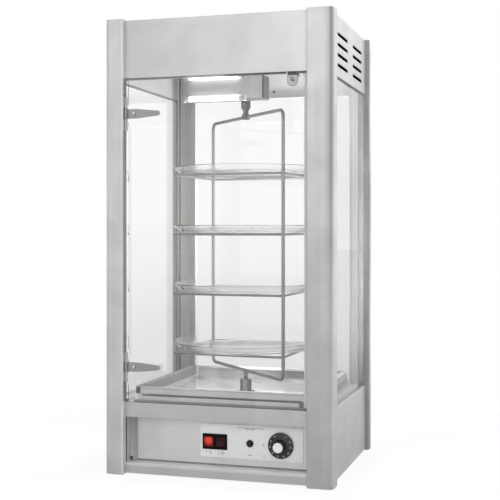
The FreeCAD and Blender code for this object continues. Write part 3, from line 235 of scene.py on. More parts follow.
STREAK_DARK = (0.483, 0.479, 0.473)
STREAK_LIGHT = (0.765, 0.758, 0.748)
upright_steel = belt_finished("satin_steel_upright", "Z", STREAK_DARK, STREAK_LIGHT)
HINGE_FOLD = ("X", -0.1958, -0.1945)
# Painted shade: the left front post darkens towards its foot. Painted light on its inner lip by the hinges,
# more near the foot.
shaded(upright_steel, 0.94, ("Z", 0.75, 0.5))
shaded(upright_steel, 1.12, HINGE_FOLD)
shaded(upright_steel, 1.15, HINGE_FOLD, ("Z", 0.145, 0.135))
dress(upright_steel, "post_front_left")
latch_upright = belt_finished("satin_steel_latch", "Z", STREAK_DARK, STREAK_LIGHT)
FRONT_FACE = ("Y", -0.199, -0.2015)
# Painted shade: the front face of the right front post darkens towards its foot, and a painted dark band
# runs down its bend to the side, strongest high up.
shaded(latch_upright, 0.76, ("Z", 0.82, 0.22), FRONT_FACE)
shaded(latch_upright, 0.55, ("X", 0.213, 0.2285), ("Z", 0.2, 0.6), FRONT_FACE)
dress(latch_upright, "post_front_right")
rear_upright = belt_finished("satin_steel_rear", "Z", (0.46, 0.453, 0.444), (0.72, 0.71, 0.696), metal=0.5)
# Painted shade on the outer half of the rear left post and painted light on its inner half.
shaded(rear_upright, 0.86, ("X", -0.2, -0.206))
shaded(rear_upright, 1.2, ("X", -0.202, -0.197))
dress(rear_upright, "post_rear_left")
# A darker copy of the post steel: painted shade on the rear right post.
shaded_upright = belt_finished("satin_steel_shaded", "Z", (0.185, 0.184, 0.182), (0.45, 0.447, 0.442))
REAR_FACE = ("Y", 0.172, 0.19)
# Painted light on its rear inner face, more at both edges of that face, and painted shade across that face
# at mid height.
shaded(shaded_upright, 1.9, REAR_FACE)
shaded(shaded_upright, 1.5, REAR_FACE, ("X", 0.197, 0.2005))
shaded(shaded_upright, 1.7, REAR_FACE, ("X", 0.191, 0.186))
shaded(shaded_upright, 0.55, REAR_FACE, ("Z", 0.34, 0.48), ("Z", 0.72, 0.6))
dress(shaded_upright, "post_rear_right")

# Hood and base panels: the same sheet folded along its edges and spot welded to the posts.
# The grain runs along each panel, across the front and the back and along the sides.
# The panels, rails, deck and hood sides take lighter and darker copies of one steel, and some are toned by
# place: painted light and shade.
STEEL_DARK = (0.55, 0.545, 0.538)
STEEL_LIGHT = (0.67, 0.664, 0.655)
cross_steel = belt_finished("satin_steel_cross", "X", STEEL_DARK, STEEL_LIGHT)
side_steel = belt_finished("satin_steel_side", "Y", STEEL_DARK, STEEL_LIGHT)
dress(cross_steel, "base_rear_panel", "top_cover", "lamp_bracket")
fascia_steel = belt_finished("satin_steel_fascia", "X", STEEL_DARK, STEEL_LIGHT)
# Painted light and shade: the hood front darkens towards its left end and lightens towards its right end.
shaded(fascia_steel, 0.93, ("X", 0, -0.16))
dress(shaded(fascia_steel, 1.09, ("X", 0.02, 0.16)), "hood_front_panel")
# A lighter copy of the steel: painted light on the recessed control panel.
panel_steel = belt_finished("satin_steel_panel", "X", (0.62, 0.612, 0.605), (0.75, 0.742, 0.733))
dress(panel_steel, "control_panel")
# Darker copies of the steel: painted shade on the two front rails low down.
RAIL_DARK = (0.48, 0.476, 0.47)
RAIL_LIGHT = (0.58, 0.575, 0.567)
dress(belt_finished("satin_steel_rail", "X", RAIL_DARK, RAIL_LIGHT), "front_upper_rail")
foot_rail = belt_finished("satin_steel_foot_rail", "X", RAIL_DARK, RAIL_LIGHT)
# Painted highlight along the top of the lower rail.
dress(shaded(foot_rail, 1.3, ("Z", 0.0155, 0.0185)), "front_lower_rail")
# A darker copy of the steel: painted shade on the deck's front lip, with painted light at its left end.
deck_steel = belt_finished("satin_steel_deck", "X", (0.48, 0.476, 0.47), (0.6, 0.595, 0.587))
dress(shaded(deck_steel, 1.55, ("X", -0.164, -0.17)), "floor_deck")
dress(side_steel, "base_left_panel", "base_right_panel")
# Lighter and darker copies of the hood steel: painted light on the rear panel and the ceiling inside the
# hood, painted shade on the two side panels.
hood_cross_steel = belt_finished("hood_steel_cross", "X", (0.65, 0.646, 0.64), (0.76, 0.755, 0.75),
                                 metal=0.45)
dress(hood_cross_steel, "hood_rear_panel", "ceiling_plate")
hood_right_steel = belt_finished("hood_steel_side", "Y", (0.54, 0.536, 0.53), (0.64, 0.635, 0.63),
                                 metal=0.45)
dress(hood_right_steel, "hood_right_panel")
hood_left_steel = belt_finished("hood_steel_left", "Y", (0.49, 0.487, 0.482), (0.56, 0.556, 0.55),
                                metal=0.4)
# Painted shade: a dark band at the rear end of the left panel's inner skin.
INNER_SKIN = ("X", -0.219, -0.217)
dress(shaded(hood_left_steel, 0.45, ("Y", 0.122, 0.14), INNER_SKIN), "hood_left_panel")


# Panel return: a folded channel that closes the hinge-side rebate at the end of the control panel.
# It is bent from thin sheet, stands a few millimetres proud and is held by one dark screw.
def start(name, add, **where):
    """Add one primitive on its own, settle its place into its mesh and open it for editing."""
    bpy.ops.object.select_all(action="DESELECT")
    add(**where)
    bpy.ops.object.transform_apply(location=True, rotation=True, scale=True)
    bpy.context.object.name = name
    bpy.ops.object.mode_set(mode="EDIT")
    return bpy.context.object


def pick(test, kind="FACE"):
    """Select the faces, edges or points of the open mesh whose middle and direction pass a test."""
    bpy.ops.mesh.select_mode(type=kind)
    bpy.ops.mesh.select_all(action="DESELECT")
    mesh = bmesh.from_edit_mesh(bpy.context.object.data)
    for item in {"FACE": mesh.faces, "EDGE": mesh.edges, "VERT": mesh.verts}[kind]:
        if kind == "FACE":
            middle, way = item.calc_center_median(), item.normal
        elif kind == "EDGE":
            first, last = item.verts[0].co, item.verts[1].co
            middle, way = (first + last) / 2, (last - first).normalized()
        else:
            middle, way = item.co, item.normal
        if test(middle, way):
            item.select_set(True)
    mesh.select_flush_mode()
    bmesh.update_edit_mesh(bpy.context.object.data)


def close(piece, body, slot, material, *replaced, angle=40):
    """Leave editing, give the piece its finish and say what it rides on and stands for."""
    bpy.ops.mesh.select_all(action="SELECT")
    bpy.ops.mesh.normals_make_consistent(inside=False)
    bpy.ops.object.mode_set(mode="OBJECT")
    bpy.ops.object.shade_smooth_by_angle(angle=math.radians(angle))
    piece.data.materials.clear()
    piece.data.materials.append(material)
    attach(piece, body)
    if replaced:
        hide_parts(*replaced)


def bar(name, low, high):
    """A block between two corners, in millimetres."""
    middle = [(a + b) / 2000 for a, b in zip(low, high)]
    piece = start(name, bpy.ops.mesh.primitive_cube_add, size=1, location=middle)
    bpy.ops.mesh.select_all(action="SELECT")
    bpy.ops.transform.resize(value=[(b - a) / 1000 for a, b in zip(low, high)], center_override=middle)
    return piece


# A darker copy of the steel: painted shade on the return in its rebate.
return_steel = belt_finished("return_steel", "Z", (0.4, 0.395, 0.39), (0.5, 0.495, 0.49))
piece = bar("panel_return", (-191.6, -168.5, 23.6), (-176.5, -165.1, 112.4))
pick(lambda middle, way: way.y < -0.9)
bpy.ops.mesh.inset(thickness=0.0045, depth=-0.0022)
pick(lambda middle, way: abs(way.z) > 0.9 and middle.y < -0.168, "EDGE")
bpy.ops.mesh.bevel(offset=0.0008, segments=3)
close(piece, "case", "satin_steel", return_steel)


# Screws: cold-formed steel pan heads with a driver recess, some blackened and some left bright.
# They hold the panel return, the hood and the rear panels here, and later the hinges and the strike.
def turned(name, rings, place=(0, 0, 0), turn=(0, 0, 0), count=48):
    """A round piece drawn from a disc, its edge pulled out ring by ring (radius and level in mm)."""
    radius, level = rings[0]
    piece = start(name, bpy.ops.mesh.primitive_circle_add, vertices=count, radius=radius / 1000,
                  fill_type="TRIFAN", location=(0, 0, level / 1000))
    pick(lambda middle, way: middle.xy.length > radius / 1100, "EDGE")
    for next_radius, next_level in rings[1:]:
        rise = (0, 0, (next_level - level) / 1000)
        bpy.ops.mesh.extrude_region_move(TRANSFORM_OT_translate={"value": rise})
        grow = next_radius / radius
        bpy.ops.transform.resize(value=(grow, grow, 1), center_override=(0, 0, 0))
        radius, level = next_radius, next_level
    bpy.ops.mesh.merge(type="CENTER")
    bpy.ops.object.mode_set(mode="OBJECT")
    piece.rotation_euler = turn
    piece.location = [value / 1000 for value in place]
    bpy.ops.object.transform_apply(location=True, rotation=True, scale=True)
    bpy.ops.object.mode_set(mode="EDIT")
    return piece


SCREW_HEAD = ((1, 0), (1, 0.22), (0.86, 0.42), (0.52, 0.52), (0.46, 0.2), (0.2, 0.1))


def screw(name, place, turn, radius, body, material, slot="turned_steel"):
    """A pan head: its rim, crown and recess are shares of its radius."""
    rings = [(radius * across, radius * rise) for across, rise in SCREW_HEAD]
    piece = turned(name, rings, place, turn, 24)
    close(piece, body, slot, material)


TO_FRONT = (math.pi / 2, 0, 0)
TO_REAR = (-math.pi / 2, 0, 0)
dark_screw = belt_finished("screw_dark", "X", (0.05, 0.05, 0.05), (0.1, 0.1, 0.1), (0.3, 0.45), 0.0005, 1.0)
bright_screw = belt_finished("screw_bright", "X", (0.62, 0.62, 0.6), (0.78, 0.78, 0.76),
                             (0.25, 0.4), 0.0005, 1.0)
screw("panel_return_screw", (-188.4, -168.5, 27.5), TO_FRONT, 2.6, "case", dark_screw)
screw("hood_rear_screw", (13, 176, 795), TO_FRONT, 3.0, "case", dark_screw)
for number, (x, z) in enumerate(((-165, 12), (165, 12), (-165, 130), (165, 130), (-165, 800), (165, 800))):
    screw("rear_screw_%d" % number, (x, 192, z), TO_REAR, 3.6, "case", bright_screw)

# Bottom plate and element hanger: zinc coated sheet, dull and lightly spangled, out of sight.
# The plate closes the base from below, and the hanger is a bent strap that carries the heater.
zinc, zinc_tree, zinc_shader = new_material("zinc_sheet")
flakes = zinc_tree.nodes.new("ShaderNodeTexVoronoi")
flakes.inputs["Scale"].default_value = 120
zinc_tree.links.new(object_place(zinc_tree), flakes.inputs["Vector"])
zinc_shade = spread(zinc_tree, flakes.outputs["Distance"], 0, 0.8, 0, 1)
zinc_tree.links.new(blend_colour(zinc_tree, zinc_shade, (0.5, 0.51, 0.52, 1), (0.66, 0.67, 0.68, 1)),
                    zinc_shader.inputs["Base Color"])
zinc_tree.links.new(spread(zinc_tree, zinc_shade, 0, 1, 0.38, 0.55), zinc_shader.inputs["Roughness"])
zinc_shader.inputs["Metallic"].default_value = 1
dress(zinc, "base_plate", "element_hanger")

# Drip pan: drawn from bright polished sheet with long wiping marks, and set loose on the floor deck.
# Its walls and rim are duller than its floor, and it is toned where the photograph shows the posts in it:
# painted reflections of the rear left post and the rack on its floor and rear wall, and painted shade on its
# front, its left wall and the right of its rear wall.
# The rear hem is the fold along the back of its rim, near white in its middle as a painted glint of the
# lamps and darker to both sides.
PAN_METAL = 0.7
pan_steel = belt_finished("polished_pan", "X", (0.69, 0.685, 0.677), (0.82, 0.815, 0.807),
                          (0.05, 0.12), 0.0015, PAN_METAL)
PAN_FLOOR = ("Z", 0.149, 0.147)
PAN_WALLS = ("Z", 0.147, 0.152)
# Painted shade on the front of the pan, painted reflections on its floor and rear wall, and painted shade on
# its left wall and the right of its rear wall.
shaded(pan_steel, 0.8, ("Y", -0.171, -0.1725))
shaded(pan_steel, 0.72, ("X", -0.144, -0.156), PAN_FLOOR)
shaded(pan_steel, 0.9, ("Y", -0.158, -0.166))
shaded(pan_steel, 0.8, ("Y", 0.112, 0.13), ("X", -0.05, -0.02), PAN_FLOOR)
shaded(pan_steel, 0.75, ("Y", 0.156, 0.158), ("X", -0.125, -0.11), ("X", -0.04, -0.055))
shaded(pan_steel, 0.25, ("X", -0.166, -0.1675), PAN_WALLS)
shaded(pan_steel, 0.38, ("Y", 0.158, 0.1605), PAN_WALLS, ("X", -0.04, 0.05))
pan_tree = pan_steel.node_tree
pan_axes = pan_tree.nodes.new("ShaderNodeSeparateXYZ")
pan_tree.links.new(object_place(pan_tree), pan_axes.inputs[0])
pan_shader = pan_tree.nodes["Principled BSDF"]
pan_polish = pan_shader.inputs["Roughness"]
pan_wall = spread(pan_tree, pan_axes.outputs["Z"], 0.146, 0.149, 0, 0.22)
pan_rim = spread(pan_tree, pan_axes.outputs["Z"], 0.167, 0.169, 0, 0.45)
pan_left = sums(pan_tree, spread(pan_tree, pan_axes.outputs["X"], -0.1675, -0.166, 1, 0),
                spread(pan_tree, pan_axes.outputs["Z"], *PAN_WALLS[1:], 0, 1), "MULTIPLY")
for duller in (pan_wall, pan_rim, sums(pan_tree, pan_left, 0.6, "MULTIPLY")):
    pan_tree.links.new(sums(pan_tree, pan_polish.links[0].from_socket, duller), pan_polish)
pan_tree.links.new(spread(pan_tree, pan_left, 0, 1, PAN_METAL, 0), pan_shader.inputs["Metallic"])
dress(pan_steel, "drip_pan")
# Painted glint: the rear hem is near white in its middle and darker to both sides.
hem_glint_steel = belt_finished("pan_hem_painted_glint", "X", (0.9, 0.9, 0.89), (1, 1, 0.99), (0.1, 0.2), 0.0005, 0.15)
shaded(hem_glint_steel, 0.6, ("X", -0.06, -0.085))
shaded(hem_glint_steel, 0.5, ("X", 0.038, 0.048))
piece = bar("pan_rear_hem", (-155, 158.4, 166.8), (155, 160.8, 173.2))
pick(lambda middle, way: abs(way.x) > 0.9, "EDGE")
bpy.ops.mesh.bevel(offset=0.001, segments=4)
close(piece, "case", "polished_steel", hem_glint_steel, angle=70)


# Panes: clear float glass with ground edges, faintly green where it is seen through its thickness.
# Lamp rays pass straight through, as they nearly do through thin glass.
SHADE_FULL_BELOW = 0.25
SHADE_ENDS_ABOVE = 0.52


def clear_glass(name, tint, rough, smear_size, bend=1.45, low_shade_tint=None):
    """Glass with faint smears, which may take a darker tint low down: painted shade where the chamber is
    darker.
    """
    material, tree, shader = new_material(name)
    shader.inputs["Base Color"].default_value = (*tint, 1)
    if low_shade_tint:
        height = tree.nodes.new("ShaderNodeSeparateXYZ")
        tree.links.new(object_place(tree), height.inputs[0])
        shade_blend = spread(tree, height.outputs["Z"], SHADE_FULL_BELOW, SHADE_ENDS_ABOVE, 1, 0)
        tree.links.new(blend_colour(tree, shade_blend, (*tint, 1), (*low_shade_tint, 1)), shader.inputs["Base Color"])
    shader.inputs["Transmission Weight"].default_value = 1
    shader.inputs["IOR"].default_value = bend
    smear = placed_group(tree, smear_group, Vector=object_place(tree), Size=smear_size)
    tree.links.new(spread(tree, smear.outputs["Smear"], 0, 1, *rough), shader.inputs["Roughness"])
    path = tree.nodes.new("ShaderNodeLightPath")
    clear = tree.nodes.new("ShaderNodeBsdfTransparent")
    clear.inputs["Color"].default_value = (*tint, 1)
    mix = tree.nodes.new("ShaderNodeMixShader")
    tree.links.new(path.outputs["Is Shadow Ray"], mix.inputs[0])
    tree.links.new(shader.outputs[0], mix.inputs[1])
    tree.links.new(clear.outputs[0], mix.inputs[2])
    tree.links.new(mix.outputs[0], tree.nodes["Material Output"].inputs["Surface"])
    return material


PANE_ROUGH = (0.0, 0.03)
PANE_SMEAR = 9.0
pane_glass = clear_glass("pane_glass", (0.972, 0.976, 0.973), PANE_ROUGH, PANE_SMEAR)
dress(pane_glass, "door_glass")
back_glass = clear_glass("back_glass", (0.985, 0.987, 0.985), PANE_ROUGH, PANE_SMEAR,
                         low_shade_tint=(0.8, 0.803, 0.8))
dress(back_glass, "glass_left", "glass_rear")
# A darker tint on the right pane: painted shade on all that is seen through it.
side_glass = clear_glass("side_glass", (0.7, 0.703, 0.7), PANE_ROUGH, PANE_SMEAR,
                         bend=1.2, low_shade_tint=(0.74, 0.743, 0.74))
dress(side_glass, "glass_right")


# Black mouldings: the magnetic catch under the hood and the cable gland in the rear panel.
# Both are moulded in a lightly grained black plastic, paler on rubbed edges.
PEBBLE_SCALE = 900.0
PEBBLE_STRENGTH = 0.15
PEBBLE_DEPTH = 0.0001
MOULDING_SMEAR = 40.0
MOULDING_SMEAR_SHARE = 0.4
MOULDING_EDGE = 0.0006


def moulded(name, dark, light, rough):
    """A fine-grained plastic, rubber or paint that is lighter where it is smeared or rubbed."""
    material, tree, shader = new_material(name)
    place = object_place(tree)
    pebble = noise(tree, place, PEBBLE_SCALE, 3)
    smear = placed_group(tree, smear_group, Vector=place, Size=MOULDING_SMEAR)
    rubbed = placed_group(tree, edge_group, Width=MOULDING_EDGE)
    mixed = sums(tree, sums(tree, smear.outputs["Smear"], MOULDING_SMEAR_SHARE, "MULTIPLY"),
                 sums(tree, rubbed.outputs["Edge"], RUBBED_SHARE, "MULTIPLY"))
    tree.links.new(blend_colour(tree, mixed, (*dark, 1), (*light, 1)), shader.inputs["Base Color"])
    tree.links.new(spread(tree, smear.outputs["Smear"], 0, 1, *rough), shader.inputs["Roughness"])
    bumped(tree, shader, pebble, PEBBLE_STRENGTH, PEBBLE_DEPTH, rubbed.outputs["Normal"])
    return material


black_plastic = moulded("black_plastic", (0.008, 0.008, 0.009), (0.03, 0.03, 0.032), (0.3, 0.5))
dress(black_plastic, "magnetic_catch", "cable_gland")

# Seals: grey rubber strips round the door opening and along the heads of the side panes, and dark strips in
# the rear corners and along the foot of the control panel, which are painted shade.
# Each is an extruded strip with eased corners, pressed on the edge of the sheet beside it.
seal_and_shade_rubber = moulded("seal_and_shade_rubber", (0.1, 0.1, 0.1), (0.16, 0.16, 0.16), (0.6, 0.75))
hinge_seal_shaded_rubber = moulded("hinge_seal_shaded_rubber", (0.22, 0.22, 0.22), (0.3, 0.3, 0.3), (0.6, 0.75))
# Painted shade on the side of the hinge seals. The dark strips by the hinges are seals that also stand in
# for the shade in the gap between the post and the door.
shaded(hinge_seal_shaded_rubber, 0.4, ("Y", -0.2025, -0.2005))
head_seal_glare_rubber = moulded("head_seal_glare_rubber", (0.13, 0.13, 0.13), (0.2, 0.2, 0.2), (0.6, 0.75))
# Painted light on the seal under the hood, lighter except at its right end, with a painted glare of the
# lamps. That strip is a seal that also stands in for the shade in the gap between the hood and the door.
shaded(head_seal_glare_rubber, 2.4, ("X", 0.035, 0.015))
shaded(head_seal_glare_rubber, 2.0, ("X", -0.075, -0.06), ("X", 0.02, 0.008))
for name, low, high in (("hinge_seal_low", (-191.95, -203, 147), (-190.7, -188.4, 182.4)),
                        ("hinge_seal_middle", (-191.95, -203, 241.6), (-190.7, -188.4, 678.4)),
                        ("hinge_seal_high", (-191.95, -203, 747.6), (-190.7, -188.4, 783)),
                        ("door_seal_head", (-191.9, -186.8, 779.6), (137, -184.8, 783.4)),
                        ("door_seal_latch_side", (161, -186.8, 779.6), (178, -184.8, 783.4)),
                        ("pane_seal_left", (-214.9, -163.5, 780.1), (-213.7, 163.5, 781.3)),
                        ("pane_seal_right", (213.7, -163.5, 780.1), (214.9, 163.5, 781.3)),
                        ("pane_edge_left", (-214.9, 152, 150), (-212.5, 163.9, 779.8)),
                        ("vent_panel_seal", (219.3, -163.5, 777.8), (222.6, 163.5, 779.8)),
                        ("vent_panel_seal_left", (-222.6, -163.5, 778.6), (-219.3, 163.5, 779.8)),
                        # Painted shade: dark strips in the inner corners of the rear posts.
                        ("corner_bead", (-224.5, 199, 146), (-221.5, 202.2, 840)),
                        ("corner_bead_right", (221.5, 199, 146), (224.5, 202.2, 840))):
    piece = bar(name, low, high)
    long_way = max(range(3), key=lambda axis: high[axis] - low[axis])
    pick(lambda middle, way: abs(way[long_way]) > 0.9, "EDGE")
    bpy.ops.mesh.bevel(offset=0.0006, segments=2)
    rubber = {"hinge": hinge_seal_shaded_rubber, "door": head_seal_glare_rubber}.get(name.split("_")[0], seal_and_shade_rubber)
    close(piece, "case", "black_plastic", rubber)
latch_seal = moulded("latch_seal", (0.66, 0.66, 0.655), (0.74, 0.74, 0.735), (0.6, 0.75))
piece = bar("door_seal_latch", (172, -186.7, 147.2), (179.8, -184.9, 779.4))
pick(lambda middle, way: abs(way.z) > 0.9, "EDGE")
bpy.ops.mesh.bevel(offset=0.0006, segments=2)
close(piece, "case", "black_plastic", latch_seal)
# The strip along the foot of the control panel is painted shade in that corner.
foot_seal = moulded("foot_seal", (0.22, 0.22, 0.22), (0.3, 0.3, 0.3), (0.6, 0.75))
for name, low, high in (("door_seal_foot", (-174, -186.7, 142.1), (176, -184.1, 147)),
                        ("panel_foot_seal", (-176, -166.3, 23.2), (179.5, -165.1, 25.8))):
    piece = bar(name, low, high)
    pick(lambda middle, way: abs(way.x) > 0.9, "EDGE")
    bpy.ops.mesh.bevel(offset=0.0005, segments=2)
    close(piece, "case", "black_plastic", foot_seal)


# Vent gauze: dark wire cloth behind the slots of both hood sides, which keeps insects out of the hood.
# It is cut from flat cloth with a pressed border and laid against the inside of the outer skin.
def dulled(material, gloss):
    """Weaken the mirror reflection of a finish."""
    material.node_tree.nodes["Principled BSDF"].inputs["Specular IOR Level"].default_value = gloss
    return material


# Painted shade: the gauze is near black and matt, so that the slots read as dark as the shade inside the
# hood.
gauze_black = moulded("gauze_black", (0.004, 0.004, 0.004), (0.008, 0.008, 0.008), (0.8, 0.9))
dulled(gauze_black, 0)
for tag, side in (("left", -1), ("right", 1)):
    low, high = sorted((side * 219.6, side * 221.2))
    piece = bar("vent_gauze_%s" % tag, (low, -130, 794), (high, 130, 872))
    pick(lambda middle, way: abs(way.x) > 0.9)
    bpy.ops.mesh.inset(thickness=0.003, depth=-0.0003)
    close(piece, "case", "black_plastic", gauze_black)

# Hinges: pressed and plated steel, a strap on the pane and a leaf on the lip of the post.
# The straps are darker than the leaves, and one bright screw clamps each strap to the glass.
HINGE_ROUGH = (0.3, 0.45)
HINGE_EDGE = 0.0008
HINGE_METAL = 0.9
hinge_steel = belt_finished("hinge_steel", "X", (0.3, 0.3, 0.297), (0.44, 0.44, 0.435),
                            HINGE_ROUGH, HINGE_EDGE, HINGE_METAL)
dress(hinge_steel, "hinge_strap_upper", "hinge_strap_lower")
leaf_steel = belt_finished("hinge_leaf_steel", "Z", (0.42, 0.42, 0.415), (0.6, 0.6, 0.593),
                           HINGE_ROUGH, HINGE_EDGE, HINGE_METAL)
dress(leaf_steel, "hinge_leaf_upper", "hinge_leaf_lower")
for tag, level in (("upper", 713), ("lower", 212)):
    screw("hinge_screw_%s" % tag, (-173, -195.6, level), TO_FRONT, 3.4, "door", bright_screw)

# Strike: a bright steel tab with a rounded lower end behind the pane, and its screw in front.
# The tab is cut from strip with a sunk face, and a thin rubber pad on its back softens the closing.
strike_steel = belt_finished("strike_steel", "Z", (0.5, 0.5, 0.495), (0.62, 0.62, 0.61),
                             (0.25, 0.35), 0.0006, 0.8)
piece = bar("strike_tab", (139.2, -186.6, 757.4), (158.8, -185.5, 777))
pick(lambda middle, way: abs(way.y) > 0.9 and middle.z < 0.76, "EDGE")
bpy.ops.mesh.bevel(offset=0.0095, segments=10)
pick(lambda middle, way: way.y < -0.9)
bpy.ops.mesh.inset(thickness=0.0016, depth=-0.0004)
close(piece, "door", "hinge_steel", strike_steel, "strike_plate")
piece = bar("strike_pad", (138.3, -185.5, 756.3), (159.7, -185.2, 776.9))
pick(lambda middle, way: abs(way.y) > 0.9 and middle.z < 0.76, "EDGE")
bpy.ops.mesh.bevel(offset=0.0102, segments=10)
close(piece, "door", "black_plastic", seal_and_shade_rubber)
grey_screw = belt_finished("screw_grey", "X", (0.3, 0.3, 0.295), (0.42, 0.42, 0.415),
                           (0.25, 0.4), 0.0005, 1.0)
screw("strike_screw", (149, -192.1, 768.5), TO_FRONT, 3.0, "door", grey_screw, "hinge_steel")

# Turning rack: drawn rod, bent cold to a tall loop, welded shut and dulled by washing.
# A turned pin under its lower bar stands in the pivot hub. Its two bars and the right rod's foot are darker
# as painted shade.
rod_steel = belt_finished("rod_steel", "Z", (0.3, 0.3, 0.296), (0.45, 0.45, 0.445),
                          (0.2, 0.34), 0.0006, 0.9)
# Painted shade on the top and bottom bars and the foot of the right rod.
shaded(rod_steel, 0.66, ("Z", 0.7, 0.712))
shaded(rod_steel, 0.72, ("Z", 0.206, 0.196))
shaded(rod_steel, 0.7, ("Z", 0.5, 0.32), ("X", 0.06, 0.09))


def bent_wire(name, width, height, place, turn, bend, thick):
    """A closed loop of wire: a plane with rounded corners whose outline is given a round section."""
    start(name, bpy.ops.mesh.primitive_plane_add, size=1)
    bpy.ops.mesh.select_all(action="SELECT")
    bpy.ops.transform.resize(value=(width / 1000, height / 1000, 1), center_override=(0, 0, 0))
    bpy.ops.mesh.bevel(offset=bend / 1000, segments=7, affect="VERTICES")
    bpy.ops.mesh.select_all(action="SELECT")
    bpy.ops.mesh.delete(type="ONLY_FACE")
    bpy.ops.object.mode_set(mode="OBJECT")
    bpy.ops.object.convert(target="CURVE")
    bpy.context.object.data.bevel_depth = thick / 2000
    bpy.context.object.data.bevel_resolution = 4
    bpy.ops.object.convert(target="MESH")
    bpy.context.object.rotation_euler = turn
    bpy.context.object.location = [value / 1000 for value in place]
    bpy.ops.object.transform_apply(location=True, rotation=True, scale=True)
    bpy.ops.object.mode_set(mode="EDIT")
    return bpy.context.object


RACK_TURN = (math.pi / 2, 0, math.radians(-47))
piece = bent_wire("rack_loop", 334, 532.5, (0, 0, 453.75), RACK_TURN, 13, 7)
close(piece, "rack", "rod_steel", rod_steel, "rack_frame", angle=60)
PIN_RINGS = ((3.0, 153.4), (4, 154.4), (4, 176), (5.2, 178), (5.2, 183), (4.4, 185), (3, 187))
piece = turned("rack_pivot_pin", PIN_RINGS)
close(piece, "rack", "rod_steel", rod_steel)

# Shelf frames: square loops of thinner wire welded to the uprights, with a peg at both free corners.
# The pegs are short lengths of rod with rounded ends, welded upright to stop the dish from sliding.
wire_steel = belt_finished("wire_steel", "X", (0.19, 0.19, 0.187), (0.3, 0.3, 0.296),
                           (0.25, 0.4), 0.0006, 0.9)
# Painted light: the wire of the upper shelves is lighter.
shaded(wire_steel, 1.5, ("Z", 0.4, 0.55))
LOWEST_SHELF = 232.5
SHELF_STEP = 121
SHELF_SIDE = 234
SHELF_TURN = -2
PEG_REACH = 114.5 * math.sqrt(2)
PEG_RINGS = ((1.9, -1), (2.2, 0), (2.2, 13.6), (1.7, 14.6), (0.9, 15))
for number in range(1, 5):
    level = LOWEST_SHELF + SHELF_STEP * (number - 1)
    piece = bent_wire("shelf_loop_%d" % number, SHELF_SIDE, SHELF_SIDE, (0, 0, level),
                      (0, 0, math.radians(SHELF_TURN)), 8, 5)
    close(piece, "rack", "rod_steel", wire_steel, "shelf_frame_%d" % number, angle=60)
    for tag, corner in (("front", 225), ("rear", 45)):
        turn = math.radians(corner + SHELF_TURN)
        place = (PEG_REACH * math.cos(turn), PEG_REACH * math.sin(turn), level)
        piece = turned("shelf_peg_%s_%d" % (tag, number), PEG_RINGS, place, count=16)
        close(piece, "rack", "rod_steel", rod_steel)

# Dishes: shallow round plates of satin pressed glass with a flared side and a fire-polished rim.
# Each lies loose on its shelf frame between the pegs.
dish_glass = clear_glass("dish_glass", (0.998, 0.998, 0.998), (0.16, 0.2), 14.0, bend=1.14)
dish_shader = dish_glass.node_tree.nodes["Principled BSDF"]
dish_shader.inputs["Coat Weight"].default_value = 0.25
dish_shader.inputs["Coat Roughness"].default_value = 0.06
LOWEST_DISH = 235
DISH_RINGS = ((131, 0), (135.5, 0.5), (138, 1.8), (140, 4), (149.6, 12.6), (151.4, 14.4), (152, 15.2),
              (151.6, 15.9), (150.6, 16), (149, 15), (147.2, 13.4), (138, 5.6), (135, 4.3), (130, 4))
for number in range(1, 5):
    low = LOWEST_DISH + SHELF_STEP * (number - 1)
    rings = [(radius, low + rise) for radius, rise in DISH_RINGS]
    piece = turned("glass_dish_%d" % number, rings, count=128)
    close(piece, "rack", "dish_glass", dish_glass, "dish_%d" % number, angle=50)

# Drive: a turned sleeve on the motor shaft and a boss on the rack, dark with tool marks round them.
# The sleeve is pushed on the shaft of the painted gearmotor, the boss is welded to the rack, and the
# pivot hub under the rack has a painted highlight in its middle.
TURNED_LOOK = ("X", (0.11, 0.11, 0.11), (0.24, 0.24, 0.236), (0.14, 0.28), 0.0006, 1.0)
turned_steel = belt_finished("turned_steel", *TURNED_LOOK)
dress(turned_steel, "drive_shaft", "thermostat_spindle")
hub_steel = belt_finished("hub_steel", *TURNED_LOOK)
# Painted highlight down the middle of the pivot hub.
dress(shaded(hub_steel, 2.4, ("X", -0.008, -0.002), ("X", 0.009, 0.004)), "pivot_hub")
SLEEVE_RINGS = ((5.2, 735), (8, 735), (8, 737.6), (9.4, 738.6), (10, 740), (10, 754.6), (9.4, 756.6),
                (8, 757.8), (5.3, 758))
piece = turned("coupling_sleeve", SLEEVE_RINGS)
close(piece, "rack", "turned_steel", turned_steel, "drive_coupling")
BOSS_RINGS = ((4, 714.6), (7.4, 715), (9, 717), (9.2, 722), (8, 725), (6, 727), (5.6, 734.8), (5, 734.9))
piece = turned("rack_boss", BOSS_RINGS)
close(piece, "rack", "turned_steel", turned_steel)
dress(moulded("motor_paint", (0.3, 0.31, 0.32), (0.42, 0.43, 0.44), (0.4, 0.6)), "gearmotor")

# Lamps: an enamelled batten with two slim tubes along the edges of its front and an end plate that is dark
# as painted shade.
# The batten is folded sheet under the ceiling, and the glass tubes have pressed metal caps on their ends.
batten_paint = moulded("batten_paint", (0.44, 0.431, 0.44), (0.52, 0.51, 0.52), (0.35, 0.5))
# Painted light: the batten front is lighter towards its right end.
dress(shaded(batten_paint, 1.6, ("X", -0.005, 0.03)), "lamp_batten")
